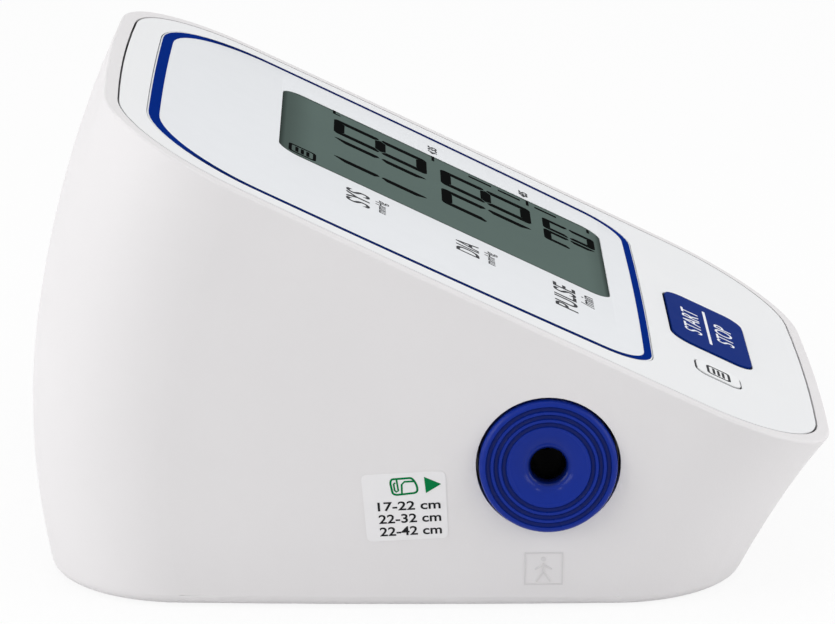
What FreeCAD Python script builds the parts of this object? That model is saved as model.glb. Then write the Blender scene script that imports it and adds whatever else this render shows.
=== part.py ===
import FreeCAD
import Part
import math
import os
import re
from types import SimpleNamespace

import Sketcher
from FreeCAD import Placement, Rotation, Vector

# Home upper-arm blood pressure monitor: a wedge-shaped casing with a sloping face.
# Millimetres, +Z up, the user in front at -Y, origin on the table under the middle of the casing.
# The face has its own frame: X across, Y up the slope, Z out of the face.

SIZES = [
    # Casing: three outlines, joined by a smooth skin
    ("rim_tilt", 25.55, "slope of the rim in degrees"),
    ("rim_step", 0.03, "rim's plane over the face's, at the origin"),
    ("rim_half_width", 51.7, "half width of the casing at its rim"),
    ("rim_front", 71.6, "origin to the front of the rim, down the slope"),
    ("rim_rear", 57.5, "origin to the rear of the rim, up the slope"),
    ("rim_corner", 24.0, "corner radius of the rim"),
    ("rim_side_bow", 1.1, "bow of the rim's long sides"),
    ("rim_end_bow", 2.1, "bow of the rim's ends"),
    ("waist_half_width", 49.6, "half width half way down"),
    ("waist_front", 59.6, "origin to the front half way down"),
    ("waist_rear", 64.6, "origin to the rear half way down"),
    ("base_half_width", 46.5, "half width of the underside"),
    ("base_front", 50.4, "origin to the front of the underside"),
    ("base_rear", 61.1, "origin to the rear of the underside"),
    ("waist_corner", 24.0, "corner radius half way down"),
    ("base_corner", 22.0, "corner radius of the underside"),
    ("body_bow", 1.6, "bow of the sides half way down and at the underside"),
    ("rim_edge", 0.4, "rounding of the rim's outer edge"),
    ("base_edge", 2.0, "rounding of the underside's edge"),
    ("wall", 2.4, "wall of the tub"),
    ("floor_thickness", 2.2, "floor of the tub"),
    ("rim_land", 2.3, "top of the wall that shows beside the panel"),
    ("panel_ledge", 1.3, "ledge of the tub under the panel's edge"),
    # Face panel and window: the face lies level with the rim
    ("face_tilt", 25.55, "slope of the face in degrees"),
    ("panel_gap", 0.35, "gap round the panel"),
    ("panel_thickness", 2.5, "face panel"),
    ("window_half_width", 45.0, "half width of the window plate"),
    ("window_front", 39.2, "origin to the window's front edge"),
    ("window_rear", 49.72, "origin to the window's rear edge"),
    ("window_rear_corner", 18.6, "rear corner radius of the window"),
    ("window_front_corner", 9.4, "front corner radius of the window"),
    ("window_widest", 20.0, "window's widest place behind its middle"),
    ("window_side_bow", 1.2, "bow of the window's sides"),
    ("window_end_bow", 0.6, "bow of the window's ends"),
    ("window_thickness", 1.2, "window plate"),
    ("window_gap", 0.15, "gap round the window"),
    # Display
    ("lcd_width", 43.2, "viewing area across the face"),
    ("lcd_length", 60.0, "viewing area along the slope"),
    ("lcd_x", 10.3, "middle of the viewing area across the face"),
    ("lcd_y", -2.9, "middle of the viewing area along the slope"),
    ("lcd_border", 2.2, "glass beyond the viewing area"),
    ("lcd_thickness", 2.0, "both glasses of the cell"),
    ("lcd_gap", 0.15, "air between glass and window"),
    ("lcd_clearance", 0.3, "gap round the glass"),
    ("holder_wall", 1.6, "wall of the display holder"),
    ("holder_lip", 0.5, "holder beside the glass"),
    ("zebra_thickness", 1.8, "conductive rubber strip"),
    ("zebra_fit", 0.1, "room beside the strip in its slot"),
    # Keys and switches
    ("keys_y", -51.0, "middle of both keys along the slope"),
    ("start_x", -1.0, "middle of the start key across the face"),
    ("start_width", 28.2, "start key across the face"),
    ("start_length", 14.4, "start key along the slope"),
    ("start_corner", 3.4, "corner radius of the start key"),
    ("start_proud", 0.3, "start key above the face plane"),
    ("memory_x", -26.4, "middle of the memory key across the face"),
    ("memory_width", 7.2, "memory key across the face"),
    ("memory_length", 7.7, "memory key along the slope"),
    ("memory_corner", 2.0, "corner radius of the memory key"),
    ("memory_proud", 0.15, "memory key above the face plane"),
    ("key_gap", 0.35, "gap round the keys"),
    ("key_flange", 1.0, "flange of a key beyond its cap"),
    ("key_flange_thickness", 1.2, "flange of a key"),
    ("key_flange_gap", 0.35, "flange below the panel at rest"),
    ("key_stem", 0.5, "stem of a key below its flange"),
    ("key_stem_radius", 1.7, "stem of a key"),
    ("switch_width", 6.0, "tact switch body"),
    ("switch_height", 4.3, "tact switch body"),
    ("plunger_radius", 1.6, "plunger of a tact switch"),
    ("plunger_rise", 0.9, "plunger above the switch body at rest"),
    ("plunger_length", 2.6, "whole plunger"),
    ("plunger_clearance", 0.3, "room round the plunger"),
    ("plunger_room", 1.1, "room under the plunger"),
    # Board
    ("board_nut_gap", 1.1, "circuit board's side from the socket's nut"),
    ("board_front", 61.6, "origin to the board's front edge"),
    ("board_rear", 42.7, "origin to the board's rear edge"),
    ("board_corner", 6.0, "corner radius of the board"),
    ("board_thickness", 1.6, "circuit board"),
    ("board_boss_radius", 2.5, "panel's boss for a board screw"),
    ("board_boss_front_x", 18.95, "front board bosses from the middle"),
    ("board_boss_front_y", -56.6, "front board bosses along the slope"),
    ("board_boss_rear_x", 20.0, "rear board bosses from the middle"),
    ("board_boss_rear_y", 38.2, "rear board bosses along the slope"),
    ("board_screw_radius", 1.1, "shank of a board screw"),
    ("board_screw_head_radius", 2.2, "head of a board screw"),
    ("board_screw_head", 1.4, "height of a board screw's head"),
    ("board_screw_grip", 4.5, "board screw inside its boss"),
    # Casing posts and screws
    ("post_radius", 4.4, "tub's post round a casing screw"),
    ("post_front_x", 34.0, "front posts from the middle"),
    ("post_front_y", -37.0, "front posts"),
    ("post_front_top", 21.0, "top of the front posts"),
    ("post_rear_x", 35.5, "rear posts from the middle"),
    ("post_rear_y", 36.0, "rear posts"),
    ("post_rear_top", 48.0, "top of the rear posts"),
    ("post_web", 4.0, "post above the screw's head"),
    ("boss_radius", 3.2, "panel's boss for a casing screw"),
    ("boss_room", 0.6, "room round a boss in the board"),
    ("case_screw_radius", 1.4, "shank of a casing screw"),
    ("case_screw_head_radius", 2.6, "head of a casing screw"),
    ("case_screw_head", 2.0, "height of a casing screw's head"),
    ("case_screw_grip", 7.0, "casing screw inside its boss"),
    ("screw_clearance", 0.05, "room round a screw in its boss"),
    ("screw_head_clearance", 0.4, "room round a screw's head in its post"),
    # Battery bay
    ("cell_radius", 7.1, "AA cell"),
    ("cell_length", 49.2, "AA cell without its button"),
    ("cell_button_radius", 2.75, "positive button of a cell"),
    ("cell_button", 1.3, "height of a cell's button"),
    ("cell_pitch", 15.0, "cell to cell"),
    ("cell_clearance", 0.35, "room over and under a cell"),
    ("bay_middle_y", 15.0, "middle of the battery bay"),
    ("bay_wall", 1.6, "walls and roof of the battery bay"),
    ("contact_plate", 0.4, "contact plates"),
    ("contact_width", 9.0, "contact plates"),
    ("spring_length", 6.2, "contact spring, pressed by its cell"),
    ("spring_base_radius", 4.2, "contact spring at its plate"),
    ("spring_tip_radius", 2.6, "contact spring at its cell"),
    ("spring_wire", 0.8, "wire of a contact spring"),
    # Battery cover
    ("cover_thickness", 2.0, "battery cover"),
    ("cover_lift", 0.3, "cover above the table"),
    ("cover_gap", 0.4, "gap round the cover"),
    ("cover_overlap", 2.0, "cover beyond the bay"),
    ("cover_flange", 4.5, "tub's thick floor beyond the cover"),
    ("tongue_width", 8.0, "hinge tongues of the cover"),
    ("tongue_length", 2.0, "hinge tongues of the cover"),
    ("tongue_thickness", 1.1, "hinge tongues of the cover"),
    ("tongue_x", 18.0, "hinge tongues from the middle"),
    ("latch_width", 12.0, "latch of the cover"),
    ("latch_thickness", 1.2, "latch of the cover"),
    ("latch_height", 2.0, "latch of the cover"),
    ("grip_depth", 0.7, "finger grooves of the cover"),
    ("grip_width", 1.4, "finger grooves of the cover"),
    ("grip_pitch", 3.0, "finger grooves of the cover"),
    # Air socket
    ("jack_y", -18.1, "air socket"),
    ("jack_z", 24.45, "air socket and air line"),
    ("jack_radius", 10.8, "disc of the air socket"),
    ("jack_rounding", 1.0, "outer edge of the disc"),
    ("jack_proud", 1.5, "disc in front of the wall at its middle"),
    ("jack_depth", 6.0, "seat of the disc behind the wall's surface"),
    ("jack_clearance", 0.5, "gap round the disc"),
    ("jack_sleeve", 2.0, "tub's sleeve round the disc"),
    ("jack_web", 2.0, "tub's seat behind the disc"),
    ("funnel_radius", 6.4, "dished middle of the disc"),
    ("funnel_depth", 0.9, "dished middle of the disc"),
    ("mouth_rounding", 1.0, "rounding of the bore's mouth"),
    ("bore_radius", 2.8, "bore for the cuff's plug"),
    ("bore_length", 11.0, "bore for the cuff's plug, with its mouth"),
    ("ridge_radius", 0.42, "grooves round the socket"),
    ("ridge_first", 6.95, "innermost groove"),
    ("ridge_pitch", 1.24, "groove to groove"),
    ("barrel_radius", 5.0, "barrel of the socket"),
    ("barrel_length", 8.0, "barrel of the socket behind the disc"),
    ("nut_radius", 8.5, "ring nut of the socket"),
    ("nut_height", 3.0, "ring nut of the socket"),
    # Air line
    ("nipple_radius", 1.9, "nipples of the air line"),
    ("nipple_length", 2.6, "nipples of the air line"),
    ("passage_radius", 0.9, "air passages"),
    ("tube_wall", 0.8, "silicone tube"),
    ("tube_fit", 0.05, "room of a tube on its nipple"),
    ("tube_bend", 7.0, "bend of the socket's tube"),
    ("manifold_x", -14.0, "air manifold"),
    ("manifold_y", -4.0, "air manifold"),
    ("manifold_width", 9.0, "air manifold"),
    ("manifold_top", 2.9, "air manifold above the air line"),
    ("sensor_boss_rise", 0.2, "manifold's slanting boss out of its top"),
    # Pump, valve and sensor
    ("pump_y", 30.0, "pump's axis"),
    ("pump_headroom", 6.836, "room between the pump and the circuit board"),
    ("motor_radius", 12.2, "pump motor"),
    ("motor_length", 31.0, "pump motor"),
    ("head_radius", 13.5, "pump head"),
    ("head_length", 26.0, "pump head"),
    ("port_radius", 3.4, "port boss of the pump head"),
    ("port_rise", 1.0, "port boss in front of the pump head"),
    ("saddle_thickness", 1.2, "pump mount under the pump"),
    ("saddle_height", 10.0, "pump mount"),
    ("saddle_fit", 0.1, "room of the pump in its mount"),
    ("valve_x", 6.0, "port face of the valve"),
    ("valve_width", 15.0, "valve across the air line"),
    ("valve_height", 14.0, "valve"),
    ("valve_body_length", 6.0, "plastic end of the valve"),
    ("valve_coil_length", 15.0, "solenoid of the valve"),
    ("sensor_width", 10.0, "pressure sensor"),
    ("sensor_height", 3.0, "pressure sensor"),
]

doc = FreeCAD.newDocument("blood_pressure_monitor")
sheet = doc.addObject("Spreadsheet::Sheet", "Sizes")
for row, (alias, number, meaning) in enumerate(SIZES, start=1):
    sheet.set(f"A{row}", alias)
    sheet.set(f"B{row}", str(number))
    sheet.setAlias(f"B{row}", alias)
    sheet.set(f"C{row}", meaning)
doc.recompute()
size = SimpleNamespace(**{alias: float(sheet.get(alias)) for alias, number, meaning in SIZES})

UP = Vector(0, 0, 1)
WORLD = Placement()


# Building blocks

def cell(word):
    """The sheet's cell for an alias in a formula; a function's name stays as it is."""
    name = word.group()
    return "Sizes." + name if hasattr(size, name) else name


def bind(item, formulas):
    """Binds each property to a formula over the sheet's aliases."""
    for name, text in formulas.items():
        item.setExpression(name, re.sub(r"[a-z_]+", cell, text))
    item.recompute()


def block(name, width, length, height, middle, frame=WORLD):
    """A box whose underside is centred on a point."""
    item = doc.addObject("Part::Box", name)
    bind(item, {"Length": width, "Width": length, "Height": height})
    corner = middle - Vector(item.Length.Value / 2, item.Width.Value / 2, 0)
    item.Placement = frame * Placement(corner, Rotation())
    return item


def rod(name, radius, height, start, direction=UP, frame=WORLD):
    """A cylinder from a point along a direction."""
    item = doc.addObject("Part::Cylinder", name)
    bind(item, {"Radius": radius, "Height": height})
    item.Placement = frame * Placement(start, Rotation(UP, direction))
    return item


def cone(name, radius, tip_radius, height, start, direction=UP):
    """A cone's stump from a point along a direction."""
    item = doc.addObject("Part::Cone", name)
    bind(item, {"Radius1": radius, "Radius2": tip_radius, "Height": height})
    item.Placement = Placement(start, Rotation(UP, direction))
    return item


def ring(name, radius, thickness, centre, direction):
    """A torus about a direction."""
    item = doc.addObject("Part::Torus", name)
    bind(item, {"Radius1": radius, "Radius2": thickness})
    item.Placement = Placement(centre, Rotation(UP, direction))
    return item


def fuse(name, items):
    item = doc.addObject("Part::MultiFuse", name)
    item.Shapes = items
    return item


def cut(name, base, tools):
    item = doc.addObject("Part::Cut", name)
    item.Base = base
    item.Tool = tools[0] if len(tools) == 1 else fuse(name + "_cuts", tools)
    return item


def common(name, items):
    item = doc.addObject("Part::MultiCommon", name)
    item.Shapes = items
    return item


def group(name, items):
    """Separate solids that share one node."""
    item = doc.addObject("Part::Compound", name)
    item.Links = items
    return item


def rounded_block(name, width, length, height, radius, middle, frame=WORLD):
    """A body padded from a sketched rectangle with round corners, its underside centred on a point."""
    body = doc.addObject("PartDesign::Body", name)
    sketch = body.newObject("Sketcher::SketchObject", name + "_sketch")
    planes = [plane for plane in body.Origin.OriginFeatures if plane.Role == "XY_Plane"]
    sketch.AttachmentSupport = [(planes[0], "")]
    sketch.MapMode = "FlatFace"
    half_width, half_length, corner = 12.0, 9.0, 2.0
    right = half_width - corner
    rear = half_length - corner
    lines = [
        (Vector(-right, -half_length, 0), Vector(right, -half_length, 0)),
        (Vector(half_width, -rear, 0), Vector(half_width, rear, 0)),
        (Vector(right, half_length, 0), Vector(-right, half_length, 0)),
        (Vector(-half_width, rear, 0), Vector(-half_width, -rear, 0)),
    ]
    for start, end in lines:
        sketch.addGeometry(Part.LineSegment(start, end), False)
    for turn, (x, y) in enumerate([(right, -rear), (right, rear), (-right, rear), (-right, -rear)]):
        circle = Part.Circle(Vector(x, y, 0), UP, corner)
        first = math.radians(90 * turn - 90)
        sketch.addGeometry(Part.ArcOfCircle(circle, first, first + math.pi / 2), False)
    for side in range(4):
        sketch.addConstraint(Sketcher.Constraint("Tangent", side, 2, 4 + side, 1))
        sketch.addConstraint(Sketcher.Constraint("Tangent", 4 + side, 2, (side + 1) % 4, 1))
    for side in (0, 2):
        sketch.addConstraint(Sketcher.Constraint("Horizontal", side))
        sketch.addConstraint(Sketcher.Constraint("Vertical", side + 1))
    for side in (5, 6, 7):
        sketch.addConstraint(Sketcher.Constraint("Equal", 4, side))
    sketch.addConstraint(Sketcher.Constraint("Symmetric", 4, 3, 6, 3, -1, 1))
    measures = [
        (Sketcher.Constraint("Radius", 4, corner), radius),
        (Sketcher.Constraint("DistanceX", 3, 1, 1, 1, 2 * half_width), width),
        (Sketcher.Constraint("DistanceY", 0, 1, 2, 1, 2 * half_length), length),
    ]
    formulas = {}
    for constraint, text in measures:
        formulas[f"Constraints[{sketch.addConstraint(constraint)}]"] = text
    bind(sketch, formulas)
    pad = body.newObject("PartDesign::Pad", name + "_pad")
    pad.Profile = sketch
    bind(pad, {"Length": height})
    body.Placement = frame * Placement(middle, Rotation())
    return body


def outline(
    name, frame, half_width, front, rear, corner, side_bow, end_bow, inset=0.0,
    front_corner=None, widest=0.0,
):
    """A closed wire of four bowed sides and four round corners, drawn in by an inset.

    The front corners can have a radius of their own, and the sides can be widest behind the middle.
    """
    middle = Vector(0, (rear - front) / 2, 0)
    half_length = (rear + front) / 2
    side_radius = (half_length ** 2 + side_bow ** 2) / (2 * side_bow)
    end_radius = (half_width ** 2 + end_bow ** 2) / (2 * end_bow)
    end_centre = Vector(0, half_length - end_radius, 0)

    def corner_arc(radius, shift):
        """Three points of a right rear corner, from the side to the end."""
        side_centre = Vector(half_width - side_radius, shift, 0)
        span = (end_centre - side_centre).Length
        along = ((side_radius - radius) ** 2 - (end_radius - radius) ** 2 + span ** 2) / (2 * span)
        across = math.sqrt((side_radius - radius) ** 2 - along ** 2)
        towards = (end_centre - side_centre) / span
        centre = side_centre + towards * along + Vector(-towards.y, towards.x, 0) * across
        to_side = (centre - side_centre).normalize()
        to_end = (centre - end_centre).normalize()
        to_corner = (to_side + to_end).normalize()
        return [centre + way * (radius - inset) for way in (to_side, to_corner, to_end)]

    def at(point, x_sign, y_sign):
        return middle + Vector(point.x * x_sign, point.y * y_sign, 0)

    rear_arc = corner_arc(corner, widest)
    front_arc = corner_arc(front_corner or corner, -widest)
    right = Vector(half_width - inset, widest, 0)
    top = Vector(0, half_length - inset, 0)
    right_rear = [at(point, 1, 1) for point in rear_arc]
    left_rear = [at(point, -1, 1) for point in reversed(rear_arc)]
    left_front = [at(point, -1, -1) for point in front_arc]
    right_front = [at(point, 1, -1) for point in reversed(front_arc)]
    arcs = [
        (right_front[-1], at(right, 1, 1), right_rear[0]),
        right_rear,
        (right_rear[-1], at(top, 1, 1), left_rear[0]),
        left_rear,
        (left_rear[-1], at(right, -1, 1), left_front[0]),
        left_front,
        (left_front[-1], at(top, 1, -1), right_front[0]),
        right_front,
    ]
    item = doc.addObject("Part::Feature", name)
    item.Shape = Part.Wire([Part.Arc(*points).toShape() for points in arcs])
    item.Placement = frame
    return item


def plate(name, wire, height, top, frame):
    """A flat plate extruded down from an outline, its upper face at a height in the frame."""
    item = doc.addObject("Part::Extrusion", name)
    item.Base = wire
    item.DirMode = "Custom"
    item.Dir = frame.Rotation.multVec(UP)
    item.Solid = True
    bind(item, {"LengthFwd": height})
    item.Placement = Placement(frame.Rotation.multVec(UP * (top - item.LengthFwd.Value)), Rotation())
    return item


def tube(name, route):
    """A silicone tube along straight runs with a tangent arc at each inner point."""
    edges = []
    start = route[0]
    for before, here, after in zip(route, route[1:], route[2:]):
        back = (before - here).normalize()
        ahead = (after - here).normalize()
        half_turn = (math.pi - back.getAngle(ahead)) / 2
        reach = size.tube_bend * math.tan(half_turn)
        centre_way = (back + ahead).normalize()
        middle = here + centre_way * (size.tube_bend / math.cos(half_turn) - size.tube_bend)
        edges.append(Part.LineSegment(start, here + back * reach).toShape())
        edges.append(Part.Arc(here + back * reach, middle, here + ahead * reach).toShape())
        start = here + ahead * reach
    edges.append(Part.LineSegment(start, route[-1]).toShape())
    spine = Part.Wire(edges)
    inner_radius = size.nipple_radius + size.tube_fit
    outer_radius = inner_radius + size.tube_wall
    direction = route[1] - route[0]
    pipes = []
    for radius in (outer_radius, inner_radius):
        profile = Part.Wire(Part.makeCircle(radius, route[0], direction))
        pipes.append(spine.makePipeShell([profile], True, False))
    item = doc.addObject("Part::Feature", name)
    item.Shape = pipes[0].cut(pipes[1])
    item.Placement = WORLD
    section = math.pi * (outer_radius ** 2 - inner_radius ** 2)
    print(f"{name}: volume {item.Shape.Volume:.1f}, section times length {section * spine.Length:.1f}")
    return item


# Heights and places that several pieces share

def within(frame, point):
    """A point of the world in a frame."""
    return frame.inverse().multVec(point)


def sloped(height, tilt):
    """A frame over the origin whose plane rises to the rear."""
    return Placement(Vector(0, 0, height), Rotation(Vector(1, 0, 0), tilt))


panel_bottom = -size.panel_thickness
window_bottom = -size.window_thickness
lcd_top = window_bottom - size.lcd_gap
lcd_bottom = lcd_top - size.lcd_thickness
key_flange_top = panel_bottom - size.key_flange_gap
key_flange_bottom = key_flange_top - size.key_flange_thickness
plunger_top = key_flange_bottom - size.key_stem
switch_top = plunger_top - size.plunger_rise
board_top = switch_top - size.switch_height
board_bottom = board_top - size.board_thickness

cover_top = size.cover_lift + size.cover_thickness
cell_z = cover_top + size.cell_clearance + size.cell_radius
roof_top = cell_z + size.cell_radius + size.cell_clearance + size.bay_wall
pump_z = roof_top + size.saddle_thickness + size.head_radius
bay_half_width = (size.cell_length + size.cell_button + size.spring_length) / 2 + size.contact_plate
bay_half_length = 2 * size.cell_pitch
cover_half_length = bay_half_length + size.cover_overlap
BAY = "cell_length + cell_button + spring_length + 2 * contact_plate"
BAY_LENGTH = "4 * cell_pitch"
BAY_HEIGHT = "cover_lift + cover_thickness + 2 * cell_radius + 2 * cell_clearance"
bay_middle = Vector(0, size.bay_middle_y, 0)
HINGE_Y = size.bay_middle_y - cover_half_length

# The face is as high as the pump under the circuit board needs
slope = math.radians(size.face_tilt)
depth_at_pump = size.head_radius + size.pump_headroom - board_bottom
face_height = pump_z - size.pump_y * math.tan(slope) + depth_at_pump / math.cos(slope)
rim_height = face_height + size.rim_step
FACE = sloped(face_height, size.face_tilt)
RIM = sloped(rim_height, size.rim_tilt)
WAIST = sloped(rim_height / 2, size.rim_tilt / 2)

posts = [
    (Vector(side * size.post_front_x, size.post_front_y, 0), "post_front_top", size.post_front_top)
    for side in (-1, 1)
] + [
    (Vector(side * size.post_rear_x, size.post_rear_y, 0), "post_rear_top", size.post_rear_top)
    for side in (-1, 1)
]
board_bosses = [
    Vector(side * x, y, 0)
    for side in (-1, 1)
    for x, y in (
        (size.board_boss_front_x, size.board_boss_front_y),
        (size.board_boss_rear_x, size.board_boss_rear_y),
    )
]


# Casing skin: rim, waist and underside outlines with a smooth loft through them

def casing_outlines(name, top_frame, base_height, rim_inset, body_inset):
    base_frame = Placement(Vector(0, 0, base_height), Rotation())
    rim = outline(
        name + "_rim", top_frame, size.rim_half_width, size.rim_front, size.rim_rear,
        size.rim_corner, size.rim_side_bow, size.rim_end_bow, rim_inset,
    )
    waist = outline(
        name + "_waist", WAIST, size.waist_half_width, size.waist_front, size.waist_rear,
        size.waist_corner, size.body_bow, size.body_bow, body_inset,
    )
    base = outline(
        name + "_base", base_frame, size.base_half_width, size.base_front, size.base_rear,
        size.base_corner, size.body_bow, size.body_bow, body_inset,
    )
    return [rim, waist, base]


def skin(name, outlines):
    item = doc.addObject("Part::Loft", name)
    item.Sections = outlines
    item.Solid = True
    item.Ruled = False
    return item


casing_skin = skin("casing_skin", casing_outlines("casing", RIM, 0.0, 0.0, 0.0))
doc.recompute()

rounded_edges = []
for number, edge in enumerate(casing_skin.Shape.Edges, start=1):
    ends = [vertex.Point for vertex in edge.Vertexes]
    if all(abs(point.z) < 0.01 for point in ends):
        rounded_edges.append((number, size.base_edge, size.base_edge))
    elif all(abs(within(RIM, point).z) < 0.01 for point in ends):
        rounded_edges.append((number, size.rim_edge, size.rim_edge))
casing_form = doc.addObject("Part::Fillet", "casing_form")
casing_form.Base = casing_skin
casing_form.Edges = rounded_edges

# The cavity starts a little above the rim so that the tub is open at the top
above_rim = RIM * Placement(UP, Rotation())
ledge_inset = size.rim_land + size.panel_ledge
cavity = skin(
    "cavity",
    casing_outlines("cavity", above_rim, size.floor_thickness, ledge_inset, size.wall),
)


def panel_outline(name, inset):
    """The rim's outline seen from the face, drawn in by an inset."""
    rim_middle = within(FACE, RIM.Base).y
    return outline(
        name, FACE, size.rim_half_width, size.rim_front - rim_middle, size.rim_rear + rim_middle,
        size.rim_corner, size.rim_side_bow, size.rim_end_bow, inset,
    )


panel_seat = plate(
    "panel_seat", panel_outline("panel_seat_outline", size.rim_land), "2 * panel_thickness",
    size.panel_thickness, FACE,
)
doc.recompute()

# The air socket's place on the left wall's outer surface
probe = Part.makeLine(
    Vector(-4 * size.rim_half_width, size.jack_y, size.jack_z),
    Vector(0, size.jack_y, size.jack_z),
)
jack_x = casing_form.Shape.common(probe).BoundBox.XMin
OUT = Vector(-1, 0, 0)
IN = Vector(1, 0, 0)


def on_jack_axis(depth):
    """A point on the socket's axis, so deep behind the wall's surface."""
    return Vector(jack_x + depth, size.jack_y, size.jack_z)


# Tub: casing skin less its cavity, with the battery bay, screw posts and the socket's seat
tub_shell = cut("tub_shell", casing_form, [cavity, panel_seat])
bay_box = block(
    "bay_box", BAY + " + 2 * bay_wall", BAY_LENGTH + " + 2 * bay_wall",
    BAY_HEIGHT + " + bay_wall", bay_middle,
)
cover_frame = block(
    "cover_frame",
    BAY + " + 2 * cover_overlap + 2 * cover_gap + 2 * cover_flange",
    BAY_LENGTH + " + 2 * cover_overlap + 2 * cover_gap + 2 * cover_flange",
    "cover_lift + cover_thickness + cover_gap + floor_thickness",
    bay_middle,
)
post_rods = []
post_cuts = []
for number, (foot, top_name, top) in enumerate(posts, start=1):
    post_rods.append(rod(f"post_{number}", "post_radius", top_name, foot))
    post_cuts.append(rod(
        f"post_{number}_bore", "case_screw_radius + 2 * screw_clearance",
        top_name + " + post_web", foot,
    ))
    post_cuts.append(rod(
        f"post_{number}_well", "case_screw_head_radius + screw_head_clearance",
        top_name + " - post_web", foot,
    ))
sleeve_length = "jack_radius + jack_depth + jack_web"
sleeve_rod = rod(
    "sleeve_rod", "jack_radius + jack_clearance + jack_sleeve", sleeve_length,
    on_jack_axis(size.jack_depth + size.jack_web), OUT,
)
sleeve = common("jack_sleeve_body", [casing_form, sleeve_rod])
sleeve_well = rod(
    "sleeve_well", "jack_radius + jack_clearance", "jack_radius + jack_depth",
    on_jack_axis(size.jack_depth), OUT,
)
sleeve_hole = rod(
    "sleeve_hole", "barrel_radius + screw_clearance", sleeve_length,
    on_jack_axis(size.jack_depth + size.jack_web), OUT,
)
bay_room = block("bay_room", BAY, BAY_LENGTH, BAY_HEIGHT, bay_middle)
cover_room = block(
    "cover_room",
    BAY + " + 2 * cover_overlap + 2 * cover_gap",
    BAY_LENGTH + " + 2 * cover_overlap + 2 * cover_gap",
    "cover_lift + cover_thickness + cover_gap",
    bay_middle,
)
tongue_z = cover_top - size.tongue_thickness
tongue_rooms = []
for side in (-1, 1):
    tongue_rooms.append(block(
        f"tongue_room_{side + 2}", "tongue_width + 2 * cover_gap",
        "2 * tongue_length + 4 * cover_gap", "cover_thickness + tongue_length",
        Vector(side * size.tongue_x, HINGE_Y, tongue_z - size.cover_gap),
    ))
tub_solid = fuse("tub_solid", [tub_shell, bay_box, cover_frame, sleeve] + post_rods)
case_tub = cut(
    "case_tub", tub_solid,
    [bay_room, cover_room, sleeve_well, sleeve_hole] + tongue_rooms + post_cuts,
)

# Face panel: plate in the tub's seat, with the window's recess, openings and bosses below
panel_wire = panel_outline("panel_outline", size.rim_land + size.panel_gap)
panel_plate = plate("panel_plate", panel_wire, "panel_thickness", 0.0, FACE)


def window_outline(name, inset):
    return outline(
        name, FACE, size.window_half_width, size.window_front, size.window_rear,
        size.window_rear_corner, size.window_side_bow, size.window_end_bow, inset,
        size.window_front_corner, size.window_widest,
    )


window_recess = plate(
    "window_recess", window_outline("window_recess_outline", -size.window_gap),
    "2 * window_thickness", size.window_thickness, FACE,
)
GLASS_WIDTH = "lcd_width + 2 * lcd_border"
GLASS_LENGTH = "lcd_length + 2 * lcd_border"
lcd_middle = Vector(size.lcd_x, size.lcd_y, 0)
lcd_opening = block(
    "lcd_opening", GLASS_WIDTH + " + 2 * lcd_clearance", GLASS_LENGTH + " + 2 * lcd_clearance",
    "2 * panel_thickness", lcd_middle + UP * (panel_bottom - size.panel_thickness / 2), FACE,
)
keys = {
    "start": Vector(size.start_x, size.keys_y, 0),
    "memory": Vector(size.memory_x, size.keys_y, 0),
}
key_openings = [
    rounded_block(
        f"{key}_opening", f"{key}_width + 2 * key_gap", f"{key}_length + 2 * key_gap",
        "2 * panel_thickness", f"{key}_corner + key_gap",
        middle + UP * (panel_bottom - size.panel_thickness / 2), FACE,
    )
    for key, middle in keys.items()
]
panel_openings = cut("panel_openings", panel_plate, [window_recess, lcd_opening] + key_openings)

boss_rods = []
boss_bores = []
for number, (foot, top_name, top) in enumerate(posts, start=1):
    start = foot + UP * top
    boss_rods.append(rod(f"boss_{number}", "boss_radius", "rim_front + rim_rear", start))
    boss_bores.append(rod(
        f"boss_{number}_bore", "case_screw_radius + screw_clearance",
        "case_screw_grip + case_screw_radius", start,
    ))
above_panel = block(
    "above_panel", "4 * rim_half_width", "4 * rim_front", "rim_front + rim_rear",
    UP * (panel_bottom + size.panel_thickness / 4), FACE,
)
case_bosses = cut("case_bosses", fuse("case_boss_rods", boss_rods), [above_panel])
BOARD_BOSS_HEIGHT = (
    "key_flange_gap + key_flange_thickness + key_stem + plunger_rise + switch_height"
)
board_boss_rods = []
board_boss_bores = []
for number, foot in enumerate(board_bosses, start=1):
    start = foot + UP * board_top
    board_boss_rods.append(rod(
        f"board_boss_{number}", "board_boss_radius", BOARD_BOSS_HEIGHT, start, UP, FACE,
    ))
    board_boss_bores.append(rod(
        f"board_boss_{number}_bore", "board_screw_radius + screw_clearance",
        "board_screw_grip + board_screw_radius", start, UP, FACE,
    ))
panel_solid = fuse("panel_solid", [panel_openings, case_bosses] + board_boss_rods)
face_panel = cut("face_panel", panel_solid, boss_bores + board_boss_bores)

# Window: clear plate, flush with the panel
display_window = plate(
    "display_window", window_outline("window_outline", 0.0), "window_thickness", 0.0, FACE,
)

# Display cell: two glasses, right under the window
lcd_glass = block(
    "lcd_glass", GLASS_WIDTH, GLASS_LENGTH, "lcd_thickness", lcd_middle + UP * lcd_bottom, FACE,
)

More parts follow.
